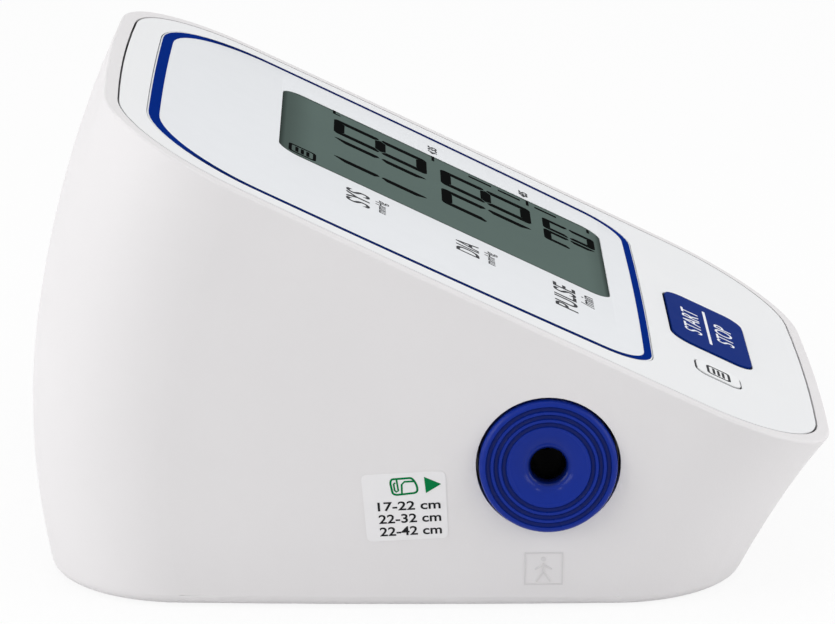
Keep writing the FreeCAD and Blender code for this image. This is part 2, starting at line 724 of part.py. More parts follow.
# Display holder: frame on the board, with a seat for the glass and slots for the rubber strips
HOLDER_HEIGHT = BOARD_BOSS_HEIGHT + (
    " + panel_thickness - window_thickness - lcd_gap - lcd_thickness"
)
holder_foot = lcd_middle + UP * board_top
holder_block = block(
    "holder_block", GLASS_WIDTH + " + 2 * lcd_clearance + 2 * holder_wall",
    GLASS_LENGTH + " + 2 * lcd_clearance + 2 * holder_wall", HOLDER_HEIGHT + " + holder_lip",
    holder_foot, FACE,
)
holder_seat = block(
    "holder_seat", GLASS_WIDTH + " + 2 * lcd_clearance", GLASS_LENGTH + " + 2 * lcd_clearance",
    "lcd_thickness", lcd_middle + UP * lcd_bottom, FACE,
)
STRIP_SLOT = "zebra_thickness + 2 * zebra_fit"
holder_room = block(
    "holder_room", GLASS_WIDTH + " - 4 * holder_wall - 2 * zebra_thickness - 4 * zebra_fit",
    GLASS_LENGTH + " - 4 * holder_wall", HOLDER_HEIGHT, holder_foot, FACE,
)
glass_half_width = size.lcd_width / 2 + size.lcd_border
strip_x = glass_half_width - size.holder_wall - size.zebra_fit - size.zebra_thickness / 2
strip_feet = [holder_foot + Vector(side * strip_x, 0, 0) for side in (-1, 1)]
strip_slots = [
    block(
        f"strip_slot_{number}", STRIP_SLOT, GLASS_LENGTH + " - 4 * holder_wall + 2 * zebra_fit",
        HOLDER_HEIGHT, foot, FACE,
    )
    for number, foot in enumerate(strip_feet, start=1)
]
lcd_holder = cut("lcd_holder", holder_block, [holder_seat, holder_room] + strip_slots)

# Conductive rubber strips between glass and board
zebra_strips = group("zebra_strips", [
    block(
        f"zebra_strip_{number}", "zebra_thickness", GLASS_LENGTH + " - 4 * holder_wall",
        HOLDER_HEIGHT, foot, FACE,
    )
    for number, foot in enumerate(strip_feet, start=1)
])

# Circuit board, parallel to the face, with holes for the casing's bosses and for its own screws
board_middle = Vector(0, (size.board_rear - size.board_front) / 2, 0)
BOARD_WIDTH = f"2 * ({-jack_x:.3f} - jack_depth - jack_web - nut_height - board_nut_gap)"
board_plate = rounded_block(
    "board_plate", BOARD_WIDTH, "board_front + board_rear", "board_thickness", "board_corner",
    board_middle + UP * board_bottom, FACE,
)
board_holes = [
    rod(f"board_hole_{number}", "boss_radius + boss_room", "rim_front + rim_rear", foot)
    for number, (foot, top_name, top) in enumerate(posts, start=1)
]
board_holes += [
    rod(
        f"board_screw_hole_{number}", "board_screw_radius + 2 * screw_clearance",
        "3 * board_thickness", foot + UP * (board_bottom - size.board_thickness), UP, FACE,
    )
    for number, foot in enumerate(board_bosses, start=1)
]
main_board = cut("main_board", board_plate, board_holes)


# Keys: cap through the panel, flange under it, stem on the switch's plunger

def key_cap(name, key):
    middle = keys[key]
    cap = rounded_block(
        f"{key}_cap", f"{key}_width", f"{key}_length",
        f"{key}_proud + panel_thickness + key_flange_gap", f"{key}_corner",
        middle + UP * key_flange_top, FACE,
    )
    flange = rounded_block(
        f"{key}_flange", f"{key}_width + 2 * key_flange", f"{key}_length + 2 * key_flange",
        "key_flange_thickness", f"{key}_corner + key_flange", middle + UP * key_flange_bottom, FACE,
    )
    stem = rod(f"{key}_stem", "key_stem_radius", "key_stem", middle + UP * plunger_top, UP, FACE)
    return fuse(name, [cap, flange, stem])


start_stop_button = key_cap("start_stop_button", "start")
memory_button = key_cap("memory_button", "memory")


# Tact switches on the board: body with a well, and a plunger that rides with its key

def switch_body(key):
    middle = keys[key]
    body = block(
        f"{key}_switch_block", "switch_width", "switch_width", "switch_height",
        middle + UP * board_top, FACE,
    )
    well = rod(
        f"{key}_switch_well", "plunger_radius + plunger_clearance", "plunger_length + plunger_room",
        middle + UP * (plunger_top - size.plunger_length - size.plunger_room), UP, FACE,
    )
    return cut(f"{key}_switch", body, [well])


def plunger(name, key):
    return rod(
        name, "plunger_radius", "plunger_length",
        keys[key] + UP * (plunger_top - size.plunger_length), UP, FACE,
    )


tact_switches = group("tact_switches", [switch_body(key) for key in keys])
start_plunger = plunger("start_plunger", "start")
memory_plunger = plunger("memory_plunger", "memory")

# Board screws, heads under the board
board_screw_solids = []
for number, foot in enumerate(board_bosses, start=1):
    head = rod(
        f"board_screw_{number}_head", "board_screw_head_radius", "board_screw_head",
        foot + UP * (board_bottom - size.board_screw_head), UP, FACE,
    )
    shank = rod(
        f"board_screw_{number}_shank", "board_screw_radius", "board_thickness + board_screw_grip",
        foot + UP * board_bottom, UP, FACE,
    )
    board_screw_solids.append(fuse(f"board_screw_{number}", [head, shank]))
board_screws = group("board_screws", board_screw_solids)

# Casing screws, up the posts and into the panel's bosses
case_screw_solids = []
for number, (foot, top_name, top) in enumerate(posts, start=1):
    seat = foot + UP * (top - size.post_web)
    head = rod(
        f"case_screw_{number}_head", "case_screw_head_radius", "case_screw_head",
        seat - UP * size.case_screw_head,
    )
    shank = rod(
        f"case_screw_{number}_shank", "case_screw_radius", "post_web + case_screw_grip", seat,
    )
    case_screw_solids.append(fuse(f"case_screw_{number}", [head, shank]))
case_screws = group("case_screws", case_screw_solids)

# Cells side by side across the bay, each the other way round from the one beside it
cell_solids = []
spring_solids = []
plate_solids = []
for number in range(4):
    side = -1 if number % 2 else 1
    y = size.bay_middle_y + (number - 1.5) * size.cell_pitch
    towards_button = Vector(side, 0, 0)
    button_tip = Vector(side * (bay_half_width - size.contact_plate), y, cell_z)
    shoulder = button_tip - towards_button * size.cell_button
    flat_end = shoulder - towards_button * size.cell_length
    spring_foot = flat_end - towards_button * size.spring_length
    can = rod(f"cell_{number + 1}_can", "cell_radius", "cell_length", flat_end, towards_button)
    button = rod(
        f"cell_{number + 1}_button", "cell_button_radius", "cell_button", shoulder, towards_button,
    )
    cell_solids.append(fuse(f"cell_{number + 1}", [can, button]))
    spring = cone(
        f"spring_{number + 1}_outside", "spring_base_radius", "spring_tip_radius", "spring_length",
        spring_foot, towards_button,
    )
    hollow = cone(
        f"spring_{number + 1}_inside", "spring_base_radius - spring_wire",
        "spring_tip_radius - spring_wire", "spring_length", spring_foot, towards_button,
    )
    spring_solids.append(cut(f"spring_{number + 1}", spring, [hollow]))
    for end in (-1, 1):
        plate_x = end * (bay_half_width - size.contact_plate / 2)
        plate_solids.append(block(
            f"contact_{number + 1}_{end + 2}", "contact_plate", "contact_width", "contact_width",
            Vector(plate_x, y, cell_z - size.contact_width / 2),
        ))
aa_cells = group("aa_cells", cell_solids)
battery_springs = group("battery_springs", spring_solids)
battery_plates = group("battery_plates", plate_solids)

# Battery cover: plate in the underside with hinge tongues in front and a latch behind
cover_foot = bay_middle + UP * size.cover_lift
cover_plate = block(
    "cover_plate", BAY + " + 2 * cover_overlap", BAY_LENGTH + " + 2 * cover_overlap",
    "cover_thickness", cover_foot,
)
tongues = [
    block(
        f"tongue_{side + 2}", "tongue_width", "2 * tongue_length + 2 * cover_gap", "tongue_thickness",
        Vector(side * size.tongue_x, HINGE_Y, tongue_z),
    )
    for side in (-1, 1)
]
latch_y = size.bay_middle_y + bay_half_length - size.latch_thickness
latch = block(
    "latch", "latch_width", "latch_thickness", "latch_height + cover_thickness",
    Vector(0, latch_y, size.cover_lift),
)
cover_rear = size.bay_middle_y + cover_half_length
grips = [
    block(
        f"grip_{number}", "latch_width", "grip_width", "2 * grip_depth",
        Vector(0, cover_rear - number * size.grip_pitch, size.cover_lift - size.grip_depth),
    )
    for number in (1, 2, 3)
]
battery_cover = cut("battery_cover", fuse("cover_solid", [cover_plate, latch] + tongues), grips)

# Air socket: grooved disc in the tub's well, dished round its bore, with a barrel behind it
disc = rod(
    "jack_disc_blank", "jack_radius", "jack_depth + jack_proud", on_jack_axis(size.jack_depth), OUT,
)
doc.recompute()
disc_front = on_jack_axis(-size.jack_proud)
disc_edges = [
    (number, size.jack_rounding, size.jack_rounding)
    for number, edge in enumerate(disc.Shape.Edges, start=1)
    if len(edge.Vertexes) == 1 and abs(edge.Vertexes[0].X - disc_front.x) < 0.01
]
jack_disc = doc.addObject("Part::Fillet", "jack_disc")
jack_disc.Base = disc
jack_disc.Edges = disc_edges
barrel = rod("jack_barrel", "barrel_radius", "barrel_length", on_jack_axis(size.jack_depth), IN)
barrel_end = size.jack_depth + size.barrel_length
jack_nipple = rod("jack_nipple", "nipple_radius", "nipple_length", on_jack_axis(barrel_end), IN)
funnel = cone("jack_funnel", "funnel_radius", "bore_radius", "funnel_depth", disc_front, IN)
bore_start = size.funnel_depth - size.jack_proud
jack_bore = rod("jack_bore", "bore_radius", "bore_length", on_jack_axis(bore_start), IN)
jack_passage = rod(
    "jack_passage", "passage_radius", "jack_depth + barrel_length + nipple_length",
    on_jack_axis(0.0), IN,
)
jack_grooves = [
    ring(
        f"jack_groove_{number + 1}", f"ridge_first + {number} * ridge_pitch", "ridge_radius",
        disc_front, OUT,
    )
    for number in range(3)
]
jack_form = cut(
    "jack_form", fuse("jack_solid", [jack_disc, barrel, jack_nipple]),
    [funnel, jack_bore, jack_passage] + jack_grooves,
)
doc.recompute()
mouth = on_jack_axis(bore_start)
mouth_edges = [
    (number, size.mouth_rounding, size.mouth_rounding)
    for number, edge in enumerate(jack_form.Shape.Edges, start=1)
    if len(edge.Vertexes) == 1 and abs(edge.Vertexes[0].X - mouth.x) < 0.01
]
air_jack = doc.addObject("Part::Fillet", "air_jack")
air_jack.Base = jack_form
air_jack.Edges = mouth_edges

# Ring nut that draws the socket onto its seat
nut_start = on_jack_axis(size.jack_depth + size.jack_web)
jack_nut = cut("jack_nut", rod("nut_blank", "nut_radius", "nut_height", nut_start, IN), [
    rod("nut_hole", "barrel_radius + screw_clearance", "nut_height", nut_start, IN),
])

# Air manifold on the bay's roof: a block with a nipple for each tube
REAR = Vector(0, 1, 0)
FRONT = Vector(0, -1, 0)
FACE_OUT = FACE.Rotation.multVec(UP)
air_centre = Vector(size.manifold_x, size.manifold_y, size.jack_z)
half_manifold = size.manifold_width / 2
manifold_block = doc.addObject("Part::Box", "manifold_block")
bind(manifold_block, {"Length": "manifold_width", "Width": "manifold_width"})
manifold_block.Height = air_centre.z + size.manifold_top - roof_top
manifold_block.Placement.Base = Vector(
    air_centre.x - half_manifold, air_centre.y - half_manifold, roof_top,
)
SENSOR_BOSS = (
    "manifold_top / cos(face_tilt) + sensor_boss_rise"
    " + (nipple_radius + tube_fit + tube_wall) * tan(face_tilt)"
)
sensor_boss = rod(
    "sensor_boss", "nipple_radius + tube_fit + tube_wall", SENSOR_BOSS, air_centre, FACE_OUT,
)
sensor_boss_top = air_centre + FACE_OUT * sensor_boss.Height.Value
manifold_nipples = [
    rod(
        f"manifold_nipple_{number}", "nipple_radius", "manifold_width / 2 + nipple_length",
        air_centre, direction,
    )
    for number, direction in enumerate((FRONT, REAR, IN), start=1)
]
manifold_nipples.append(
    rod("manifold_nipple_sensor", "nipple_radius", "nipple_length", sensor_boss_top, FACE_OUT),
)
manifold_passages = [
    rod(
        f"manifold_passage_{number}", "passage_radius", "manifold_width + nipple_length",
        air_centre, direction,
    )
    for number, direction in enumerate((FRONT, REAR, IN, FACE_OUT), start=1)
]
air_manifold = cut(
    "air_manifold", fuse("manifold_solid", [manifold_block, sensor_boss] + manifold_nipples),
    manifold_passages,
)

# Pump along the bay's roof: head with its port in front, motor beside it, rubber saddle below
head_start = Vector(size.manifold_x - size.head_length / 2, size.pump_y, pump_z)
head_can = rod("head_can", "head_radius", "head_length", head_start, IN)
port_face = Vector(size.manifold_x, size.pump_y - size.head_radius - size.port_rise, size.jack_z)
port_boss = rod("port_boss", "port_radius", "head_radius + port_rise", port_face, REAR)
port_nipple = rod("port_nipple", "nipple_radius", "nipple_length", port_face, FRONT)
port_passage = rod(
    "port_passage", "passage_radius", "head_radius + nipple_length",
    port_face + FRONT * size.nipple_length, REAR,
)
pump_head = cut("pump_head", fuse("head_solid", [head_can, port_boss, port_nipple]), [port_passage])
motor_start = head_start + IN * size.head_length
pump_motor = rod("pump_motor", "motor_radius", "motor_length", motor_start, IN)
saddle_blank = block(
    "saddle_blank", "motor_length", "2 * motor_radius", "saddle_height",
    Vector(motor_start.x + size.motor_length / 2, size.pump_y, roof_top),
)
pump_mount = cut("pump_mount", saddle_blank, [
    rod("saddle_room", "motor_radius + saddle_fit", "motor_length", motor_start, IN),
])

# Exhaust valve on the bay's roof: plastic end with the port, solenoid behind it
valve_foot = Vector(size.valve_x + size.valve_body_length / 2, size.manifold_y, roof_top)
valve_block = block("valve_block", "valve_body_length", "valve_width", "valve_height", valve_foot)
valve_port = Vector(size.valve_x, size.manifold_y, size.jack_z)
valve_nipple = rod("valve_nipple", "nipple_radius", "nipple_length", valve_port, OUT)
valve_passage = rod(
    "valve_passage", "passage_radius", "nipple_length + valve_body_length",
    valve_port + OUT * size.nipple_length, IN,
)
valve_body = cut("valve_body", fuse("valve_solid", [valve_block, valve_nipple]), [valve_passage])
coil_x = size.valve_x + size.valve_body_length + size.valve_coil_length / 2
valve_coil = block(
    "valve_coil", "valve_coil_length", "valve_width", "valve_height",
    Vector(coil_x, size.manifold_y, roof_top),
)

# Pressure sensor under the board, its port in line with the manifold's slanting nipple
sensor_foot = within(FACE, air_centre)
sensor_middle = Vector(sensor_foot.x, sensor_foot.y, board_bottom - size.sensor_height)
sensor_block = block(
    "sensor_block", "sensor_width", "sensor_width", "sensor_height", sensor_middle, FACE,
)
sensor_nipple = rod(
    "sensor_nipple", "nipple_radius", "nipple_length", sensor_middle - UP * size.nipple_length, UP, FACE,
)
sensor_passage = rod(
    "sensor_passage", "passage_radius", "nipple_length + sensor_height / 2",
    sensor_middle - UP * size.nipple_length, UP, FACE,
)
pressure_sensor = cut(
    "pressure_sensor", fuse("sensor_solid", [sensor_block, sensor_nipple]), [sensor_passage],
)

# Silicone tubes from face to face over the nipples
jack_tube_end = air_centre + FRONT * half_manifold
tube_jack = tube("tube_jack", [
    on_jack_axis(barrel_end),
    Vector(air_centre.x, size.jack_y, size.jack_z),
    jack_tube_end,
])
tube_pump = tube("tube_pump", [air_centre + REAR * half_manifold, port_face])
tube_valve = tube("tube_valve", [air_centre + IN * half_manifold, valve_port])
tube_sensor = tube("tube_sensor", [sensor_boss_top, FACE.multVec(sensor_middle)])

doc.recompute()

PIECES = [
    case_tub, face_panel, display_window, lcd_glass, lcd_holder, zebra_strips, main_board,
    start_stop_button, memory_button, tact_switches, start_plunger, memory_plunger, board_screws,
    case_screws, aa_cells, battery_springs, battery_plates, battery_cover, air_jack, jack_nut,
    air_manifold, pump_head, pump_motor, pump_mount, valve_body, valve_coil, pressure_sensor,
    tube_jack, tube_pump, tube_valve, tube_sensor,
]

# Nothing is written unless the whole model is sound
for item in doc.Objects:
    if "Invalid" in item.State or "Error" in item.State:
        raise RuntimeError(f"{item.Label} failed: {item.State}")
for piece in PIECES:
    if piece.Shape.isNull() or not piece.Shape.isValid():
        raise RuntimeError(f"{piece.Label} has no sound shape")

os.makedirs("parts", exist_ok=True)
for piece in PIECES:
    piece.Shape.exportStep(f"parts/{piece.Label}.step")
    box = piece.Shape.BoundBox
    print(
        f"{piece.Label}: {len(piece.Shape.Solids)} solids, volume {piece.Shape.Volume:.1f}, "
        f"x {box.XMin:.2f} to {box.XMax:.2f}, y {box.YMin:.2f} to {box.YMax:.2f}, "
        f"z {box.ZMin:.2f} to {box.ZMax:.2f}"
    )
print(f"air socket at x {jack_x:.3f}, cover hinge at y {HINGE_Y:.3f}, face at z {face_height:.3f}")
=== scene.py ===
# Blood pressure monitor: the looks of its pieces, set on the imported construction
import math

import bmesh
import bpy
from mathutils import Matrix, Vector
from mathutils.bvhtree import BVHTree


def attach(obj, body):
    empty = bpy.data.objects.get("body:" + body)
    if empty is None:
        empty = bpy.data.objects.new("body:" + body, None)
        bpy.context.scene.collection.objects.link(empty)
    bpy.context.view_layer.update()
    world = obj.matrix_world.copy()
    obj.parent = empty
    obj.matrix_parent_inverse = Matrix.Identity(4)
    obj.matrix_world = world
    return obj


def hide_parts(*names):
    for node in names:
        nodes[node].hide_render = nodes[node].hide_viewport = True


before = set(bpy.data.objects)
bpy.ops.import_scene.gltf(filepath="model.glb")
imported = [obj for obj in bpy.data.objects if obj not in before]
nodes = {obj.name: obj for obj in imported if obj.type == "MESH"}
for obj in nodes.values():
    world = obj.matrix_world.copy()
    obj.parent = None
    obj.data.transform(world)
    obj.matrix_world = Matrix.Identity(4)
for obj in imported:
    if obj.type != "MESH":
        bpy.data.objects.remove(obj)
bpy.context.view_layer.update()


# Casing tub
# The lower half of the case is one injection moulding in white ABS: walls, floor and battery
# bay together. Its outside has the fine even grain of a spark-eroded mould.
FLOW_SIZE = 0.022
SHEEN_SIZE = 0.006
SHEEN_SPREAD = 0.1


class Socket:
    """A node's output; reckoning with it adds Math nodes."""

    def __init__(self, owner, output):
        self.owner = owner
        self.output = output

    def __add__(self, other):
        return self.owner.reckon("ADD", self, other)

    def __radd__(self, other):
        return self.owner.reckon("ADD", other, self)

    def __sub__(self, other):
        return self.owner.reckon("SUBTRACT", self, other)

    def __rsub__(self, other):
        return self.owner.reckon("SUBTRACT", other, self)

    def __mul__(self, other):
        return self.owner.reckon("MULTIPLY", self, other)

    def __rmul__(self, other):
        return self.owner.reckon("MULTIPLY", other, self)

    def __gt__(self, other):
        return self.owner.reckon("GREATER_THAN", self, other)

    def __lt__(self, other):
        return self.owner.reckon("LESS_THAN", self, other)


class Nodes:
    """A node tree that is added to one call at a time."""

    def __init__(self, tree):
        self.tree = tree

    def feed(self, socket, value):
        if isinstance(value, Socket):
            self.tree.links.new(value.output, socket)
        else:
            socket.default_value = value

    def node(self, kind, settings, sockets, output=0):
        made = self.tree.nodes.new(kind if kind.startswith("Geometry") else "ShaderNode" + kind)
        for name, value in settings.items():
            setattr(made, name, value)
        for name, value in sockets.items():
            self.feed(made.inputs[name], value)
        return Socket(self, made.outputs[output])

    def reckon(self, operation, *values):
        return self.node("Math", {"operation": operation}, dict(enumerate(values)))


class Finish(Nodes):
    """A material with the usual textures and maps at hand."""

    def __init__(self, name):
        self.material = bpy.data.materials.new(name)
        self.material.use_nodes = True
        super().__init__(self.material.node_tree)
        self.surface = self.tree.nodes["Principled BSDF"]

    def place(self):
        return self.node("TexCoord", {}, {}, "Object")

    def axes(self):
        split = self.node("SeparateXYZ", {}, {"Vector": self.place()})
        outputs = split.output.node.outputs
        return [Socket(self, outputs[axis]) for axis in ("X", "Y", "Z")]

    def noise(self, size, detail=2.0, rough=0.5):
        sockets = {"Vector": self.place(), "Scale": 1 / size, "Detail": detail, "Roughness": rough}
        return self.node("TexNoise", {}, sockets, "Fac")

    def ramp(self, value, start, end, course="LINEAR"):
        """0 up to the start, 1 from the end on."""
        sockets = {"Value": value, "From Min": start, "From Max": end}
        return self.node("MapRange", {"interpolation_type": course}, sockets)

    def mix(self, share, first, second):
        return self.node("Mix", {"data_type": "RGBA"}, {0: share, 6: first, 7: second}, 2)

    def mottled(self, size, colour, shade):
        """A colour that goes over into a shade of it, in soft patches."""
        return self.mix(self.noise(size, 3.0), colour, shade)

    def colour(self):
        """What feeds the base colour so far."""
        return Socket(self, self.surface.inputs["Base Color"].links[0].from_socket)

    def bump(self, height, depth):
        self.set(normal=self.node("Bump", {}, {"Height": height, "Distance": depth, "Strength": 1.0}))

    def set(self, **sockets):
        for name, value in sockets.items():
            self.feed(self.surface.inputs[name.replace("_", " ").title().replace("Ior", "IOR")], value)


def rgb(red, green, blue):
    """A colour as seen, 0 to 255, as the shader's linear values."""
    def linear(value):
        value = value / 255
        return value / 12.92 if value <= 0.04045 else ((value + 0.055) / 1.055) ** 2.4
    return linear(red), linear(green), linear(blue), 1.0


def moulded(name, colour, shade, roughness, grain, depth, gloss=0.25):
    """Moulded plastic: faint flow mottling, an uneven sheen and a spark-eroded grain."""
    finish = Finish(name)
    finish.set(base_color=finish.mottled(FLOW_SIZE, colour, shade), specular_ior_level=gloss)
    finish.set(roughness=roughness - SHEEN_SPREAD / 2 + SHEEN_SPREAD * finish.noise(SHEEN_SIZE))
    finish.bump(finish.noise(grain, 2.0, 0.6), depth)
    return finish


def dress(finish, *names):
    """Puts a finish on pieces of the construction."""
    for name in names:
        for slot in nodes[name].material_slots:
            slot.material = finish.material


case_white = moulded("case_white", rgb(223, 221, 222), rgb(219, 217, 218), 0.52, 0.00045, 0.000012)
dress(case_white, "case_tub")


# Face panel
# The sloping upper cover is a second white moulding, let into the tub's rim and held by four
# screws from below. Its grain is finer, so that it looks a shade smoother than the walls.
# The narrow gaps round it and round its keys get little light; that shade is painted into the colour of their
# walls.
FACE_TILT = math.radians(25.55)
FACE_HEIGHT = 0.054279
PANEL_DEPTH = 0.0025
UNDERSIDE_EDGE = 0.0001
PANEL_GAP_START = 0.0002


def paint_gap_shade(finish, start, colour, share):
    """Paints shade into a finish, from a depth below the face to the panel's underside."""
    _, along, up = finish.axes()
    below = along * math.sin(FACE_TILT) - (up - FACE_HEIGHT) * math.cos(FACE_TILT)
    in_gap = (below > start) * (below < PANEL_DEPTH - UNDERSIDE_EDGE)
    finish.set(base_color=finish.mix(share * in_gap, finish.colour(), colour))


panel_white = moulded("panel_white", rgb(229, 230, 231), rgb(226, 227, 229), 0.46, 0.0003, 0.000008)
# Painted shade on the panel's edges down in the gap to the tub's rim.
paint_gap_shade(panel_white, PANEL_GAP_START, rgb(92, 92, 96), 0.85)
dress(panel_white, "face_panel")


# Display window
# A clear acrylic plate flush with the panel, printed on its back: a white mask with a rounded
# opening for the display, and a blue line along its edge. Plate and prints are made as they look.
ON_FACE = Matrix.Translation((0, 0, FACE_HEIGHT)) @ Matrix.Rotation(FACE_TILT, 4, "X")
WINDOW = dict(half_width=44.99, front=39.19, rear=49.71, rear_corner=18.6, front_corner=9.4)
BORDER_OUTSIDE = dict(half_width=44.88, front=39.0, rear=49.5, rear_corner=18.6, front_corner=9.4)
BORDER_INSIDE = dict(half_width=43.5, front=37.65, rear=47.65, rear_corner=17.6, front_corner=7.8)
LONG_SIDES = (0.0385, 0.0425)
LONG_SIDE_SHADE = 0.6
SIDE_BOW = 1.2
END_BOW = 0.6
WIDEST = 20.0
WINDOW_DEPTH = 1.2
WINDOW_EDGE = 0.1
LCD_MIDDLE = dict(x=10.3, y=-2.9)
OPENING = dict(width=43.2, length=59.8, corner=3.8, **LCD_MIDDLE)
PRINT_STAND = 0.03
INK_PATCHES = 0.004
INK_SHEEN = 0.01
MERGE_MM = 0.0005
SHARP_EDGE = math.radians(40)


def arc(centre, radius, start, end, steps):
    """Points of an arc, its last one left to the next run."""
    turns = [start + (end - start) * step / steps for step in range(steps)]
    return [(centre[0] + radius * math.cos(t), centre[1] + radius * math.sin(t)) for t in turns]


def bowed_loop(half_width, front, rear, rear_corner, front_corner, steps=14):
    """The window's outline: four bowed sides, the long ones widest behind the middle, in mm."""
    half_length = (front + rear) / 2
    side_radius = (half_length ** 2 + SIDE_BOW ** 2) / (2 * SIDE_BOW)
    end_radius = (half_width ** 2 + END_BOW ** 2) / (2 * END_BOW)
    end = Vector((0, half_length - end_radius))

    def quarter(corner, shift):
        """The right rear quarter, from the side's widest place to the middle of the end."""
        side = Vector((half_width - side_radius, shift))
        reach_side = side_radius - corner
        reach_end = end_radius - corner
        span = (end - side).length
        ahead = (end - side) / span
        along = (span ** 2 + reach_side ** 2 - reach_end ** 2) / (2 * span)
        across = math.sqrt(reach_side ** 2 - along ** 2)
        knee = side + ahead * along + Vector((-ahead.y, ahead.x)) * across
        turn_side = math.atan2(knee.y - side.y, knee.x - side.x)
        turn_end = math.atan2(knee.y - end.y, knee.x - end.x)
        run = arc(side, side_radius, 0, turn_side, steps)
        run += arc(knee, corner, turn_side, turn_end, steps)
        run += arc(end, end_radius, turn_end, math.pi / 2, steps)
        return run + [(0, half_length)]

    behind = quarter(rear_corner, WIDEST)
    before = [(x, -y) for x, y in quarter(front_corner, -WIDEST)]
    right = before[:0:-1] + behind[:-1]
    left = [(-x, y) for x, y in behind[:0:-1] + before[:-1]]
    middle = (rear - front) / 2
    return [(x, y + middle) for x, y in right + left]


def rounded_loop(width, length, x, y, corner, steps=8):
    """A rectangle with rounded corners about a point, in mm."""
    loop = []
    for index, (side, end) in enumerate(((1, 1), (-1, 1), (-1, -1), (1, -1))):
        knee = (x + side * (width / 2 - corner), y + end * (length / 2 - corner))
        start = index * math.pi / 2
        finish = start + math.pi / 2
        loop += arc(knee, corner, start, finish, steps)
        loop.append((knee[0] + corner * math.cos(finish), knee[1] + corner * math.sin(finish)))
    return loop


def flat_mesh(name, loops, low, high, edge=0.0):
    """A plate between two heights, with outline and openings from the loops, all in mm."""
    curve = bpy.data.curves.new(name, "CURVE")
    curve.dimensions = "2D"
    curve.fill_mode = "BOTH"
    for loop in loops:
        spline = curve.splines.new("POLY")
        spline.points.add(len(loop) - 1)
        for point, (x, y) in zip(spline.points, loop):
            point.co = (x, y, 0, 1)
        spline.use_cyclic_u = True
    curve.extrude = (high - low) / 2 - edge
    curve.bevel_depth = edge
    curve.bevel_resolution = 2
    curve.offset = -edge
    return solid_of(curve, (low + high) / 2)


def solid_of(curve, height):
    """A flat curve or a word as a closed mesh at that height."""
    holder = bpy.data.objects.new(curve.name, curve)
    mesh = bpy.data.meshes.new_from_object(holder)
    bpy.data.objects.remove(holder)
    bpy.data.curves.remove(curve)
    mesh.transform(Matrix.Translation((0, 0, height)))
    return mesh


def finished_piece(name, joined, merge, place, finish, body):
    """One piece from a mesh in the making: merged, set in its place and put on its body."""
    bmesh.ops.remove_doubles(joined, verts=joined.verts, dist=merge)
    bmesh.ops.dissolve_degenerate(joined, edges=joined.edges, dist=merge)
    bmesh.ops.recalc_face_normals(joined, faces=joined.faces)
    shell = bpy.data.meshes.new(name)
    joined.to_mesh(shell)
    joined.free()
    shell.transform(place)
    shell.polygons.foreach_set("use_smooth", [True] * len(shell.polygons))
    shell.set_sharp_from_angle(angle=SHARP_EDGE)
    shell.materials.append(finish.material)
    piece = bpy.data.objects.new(name, shell)
    bpy.context.scene.collection.objects.link(piece)
    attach(piece, body)
    return piece


def face_piece(name, meshes, finish, body):
    """One piece of the face, from meshes in mm on its plane."""
    joined = bmesh.new()
    for mesh in meshes:
        joined.from_mesh(mesh)
        bpy.data.meshes.remove(mesh)
    place = ON_FACE @ Matrix.Scale(0.001, 4)
    return finished_piece(name, joined, MERGE_MM, place, finish, body)


def printed(name, colour, shade, coat):
    """Ink under a clear gloss layer, a little uneven in density."""
    finish = Finish(name)
    finish.set(base_color=finish.mottled(INK_PATCHES, colour, shade))
    finish.set(roughness=0.3 + 0.08 * finish.noise(INK_SHEEN), specular_ior_level=0.0)
    finish.set(coat_weight=coat, coat_roughness=0.06)
    return finish


mask_white = printed("mask_white", rgb(227, 229, 232), rgb(224, 226, 229), 0.06)
plate = flat_mesh("window_mask", [bowed_loop(**WINDOW), rounded_loop(**OPENING)],
                  -WINDOW_DEPTH, 0, WINDOW_EDGE)
window_mask = face_piece("window_mask", [plate], mask_white, "case")
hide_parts("display_window")

border_blue = printed("border_blue", rgb(0, 40, 128), rgb(0, 36, 120), 0.01)
# The blue line is painted darker along the long sides than at its ends: painted shade.
reach = border_blue.reckon("ABSOLUTE", border_blue.axes()[0])
long_side = border_blue.ramp(reach, *LONG_SIDES)
painted_side_shade = LONG_SIDE_SHADE * long_side
border_blue.set(base_color=border_blue.mix(painted_side_shade, border_blue.colour(), rgb(0, 12, 48)))
border = flat_mesh("window_border", [bowed_loop(**BORDER_OUTSIDE), bowed_loop(**BORDER_INSIDE)],
                   -PRINT_STAND, PRINT_STAND)
face_piece("window_border", [border], border_blue, "case")


# Display
# A reflective liquid crystal cell: two sheets of glass on a grey-green reflector, seen through
# the window. The segments that are driven look nearly black. The shadow of the window's mask is
# painted on the cell: darker bands at its rear and front ends and a dark line round its edges.
LCD_FACE = -0.08
LCD_LEDGE = -1.35
LCD_STEP_FOOT = -1.45
LCD_BACK = -3.35
LCD_CELL = dict(width=47.6, length=64.2, corner=1.0, **LCD_MIDDLE)
LCD_CELL_EDGE = 0.15
LCD_STEP = dict(width=43.1, length=59.7, corner=3.75, **LCD_MIDDLE)
REAR_SHADE = (0.0203, 0.027)
FRONT_SHADE = (-0.0287, -0.0332)
SIDE_RIM_SHADOW = (0.0204, 0.0215)
END_RIM_SHADOW = (0.0289, 0.0298)
REAR_SHARE = 0.55
FRONT_SHARE = 0.35
RIM_SHADOW_SHARE = 0.7
lcd = Finish("lcd_grey")
across, along, up = lcd.axes()
slope = along * math.cos(FACE_TILT) + (up - FACE_HEIGHT) * math.sin(FACE_TILT)
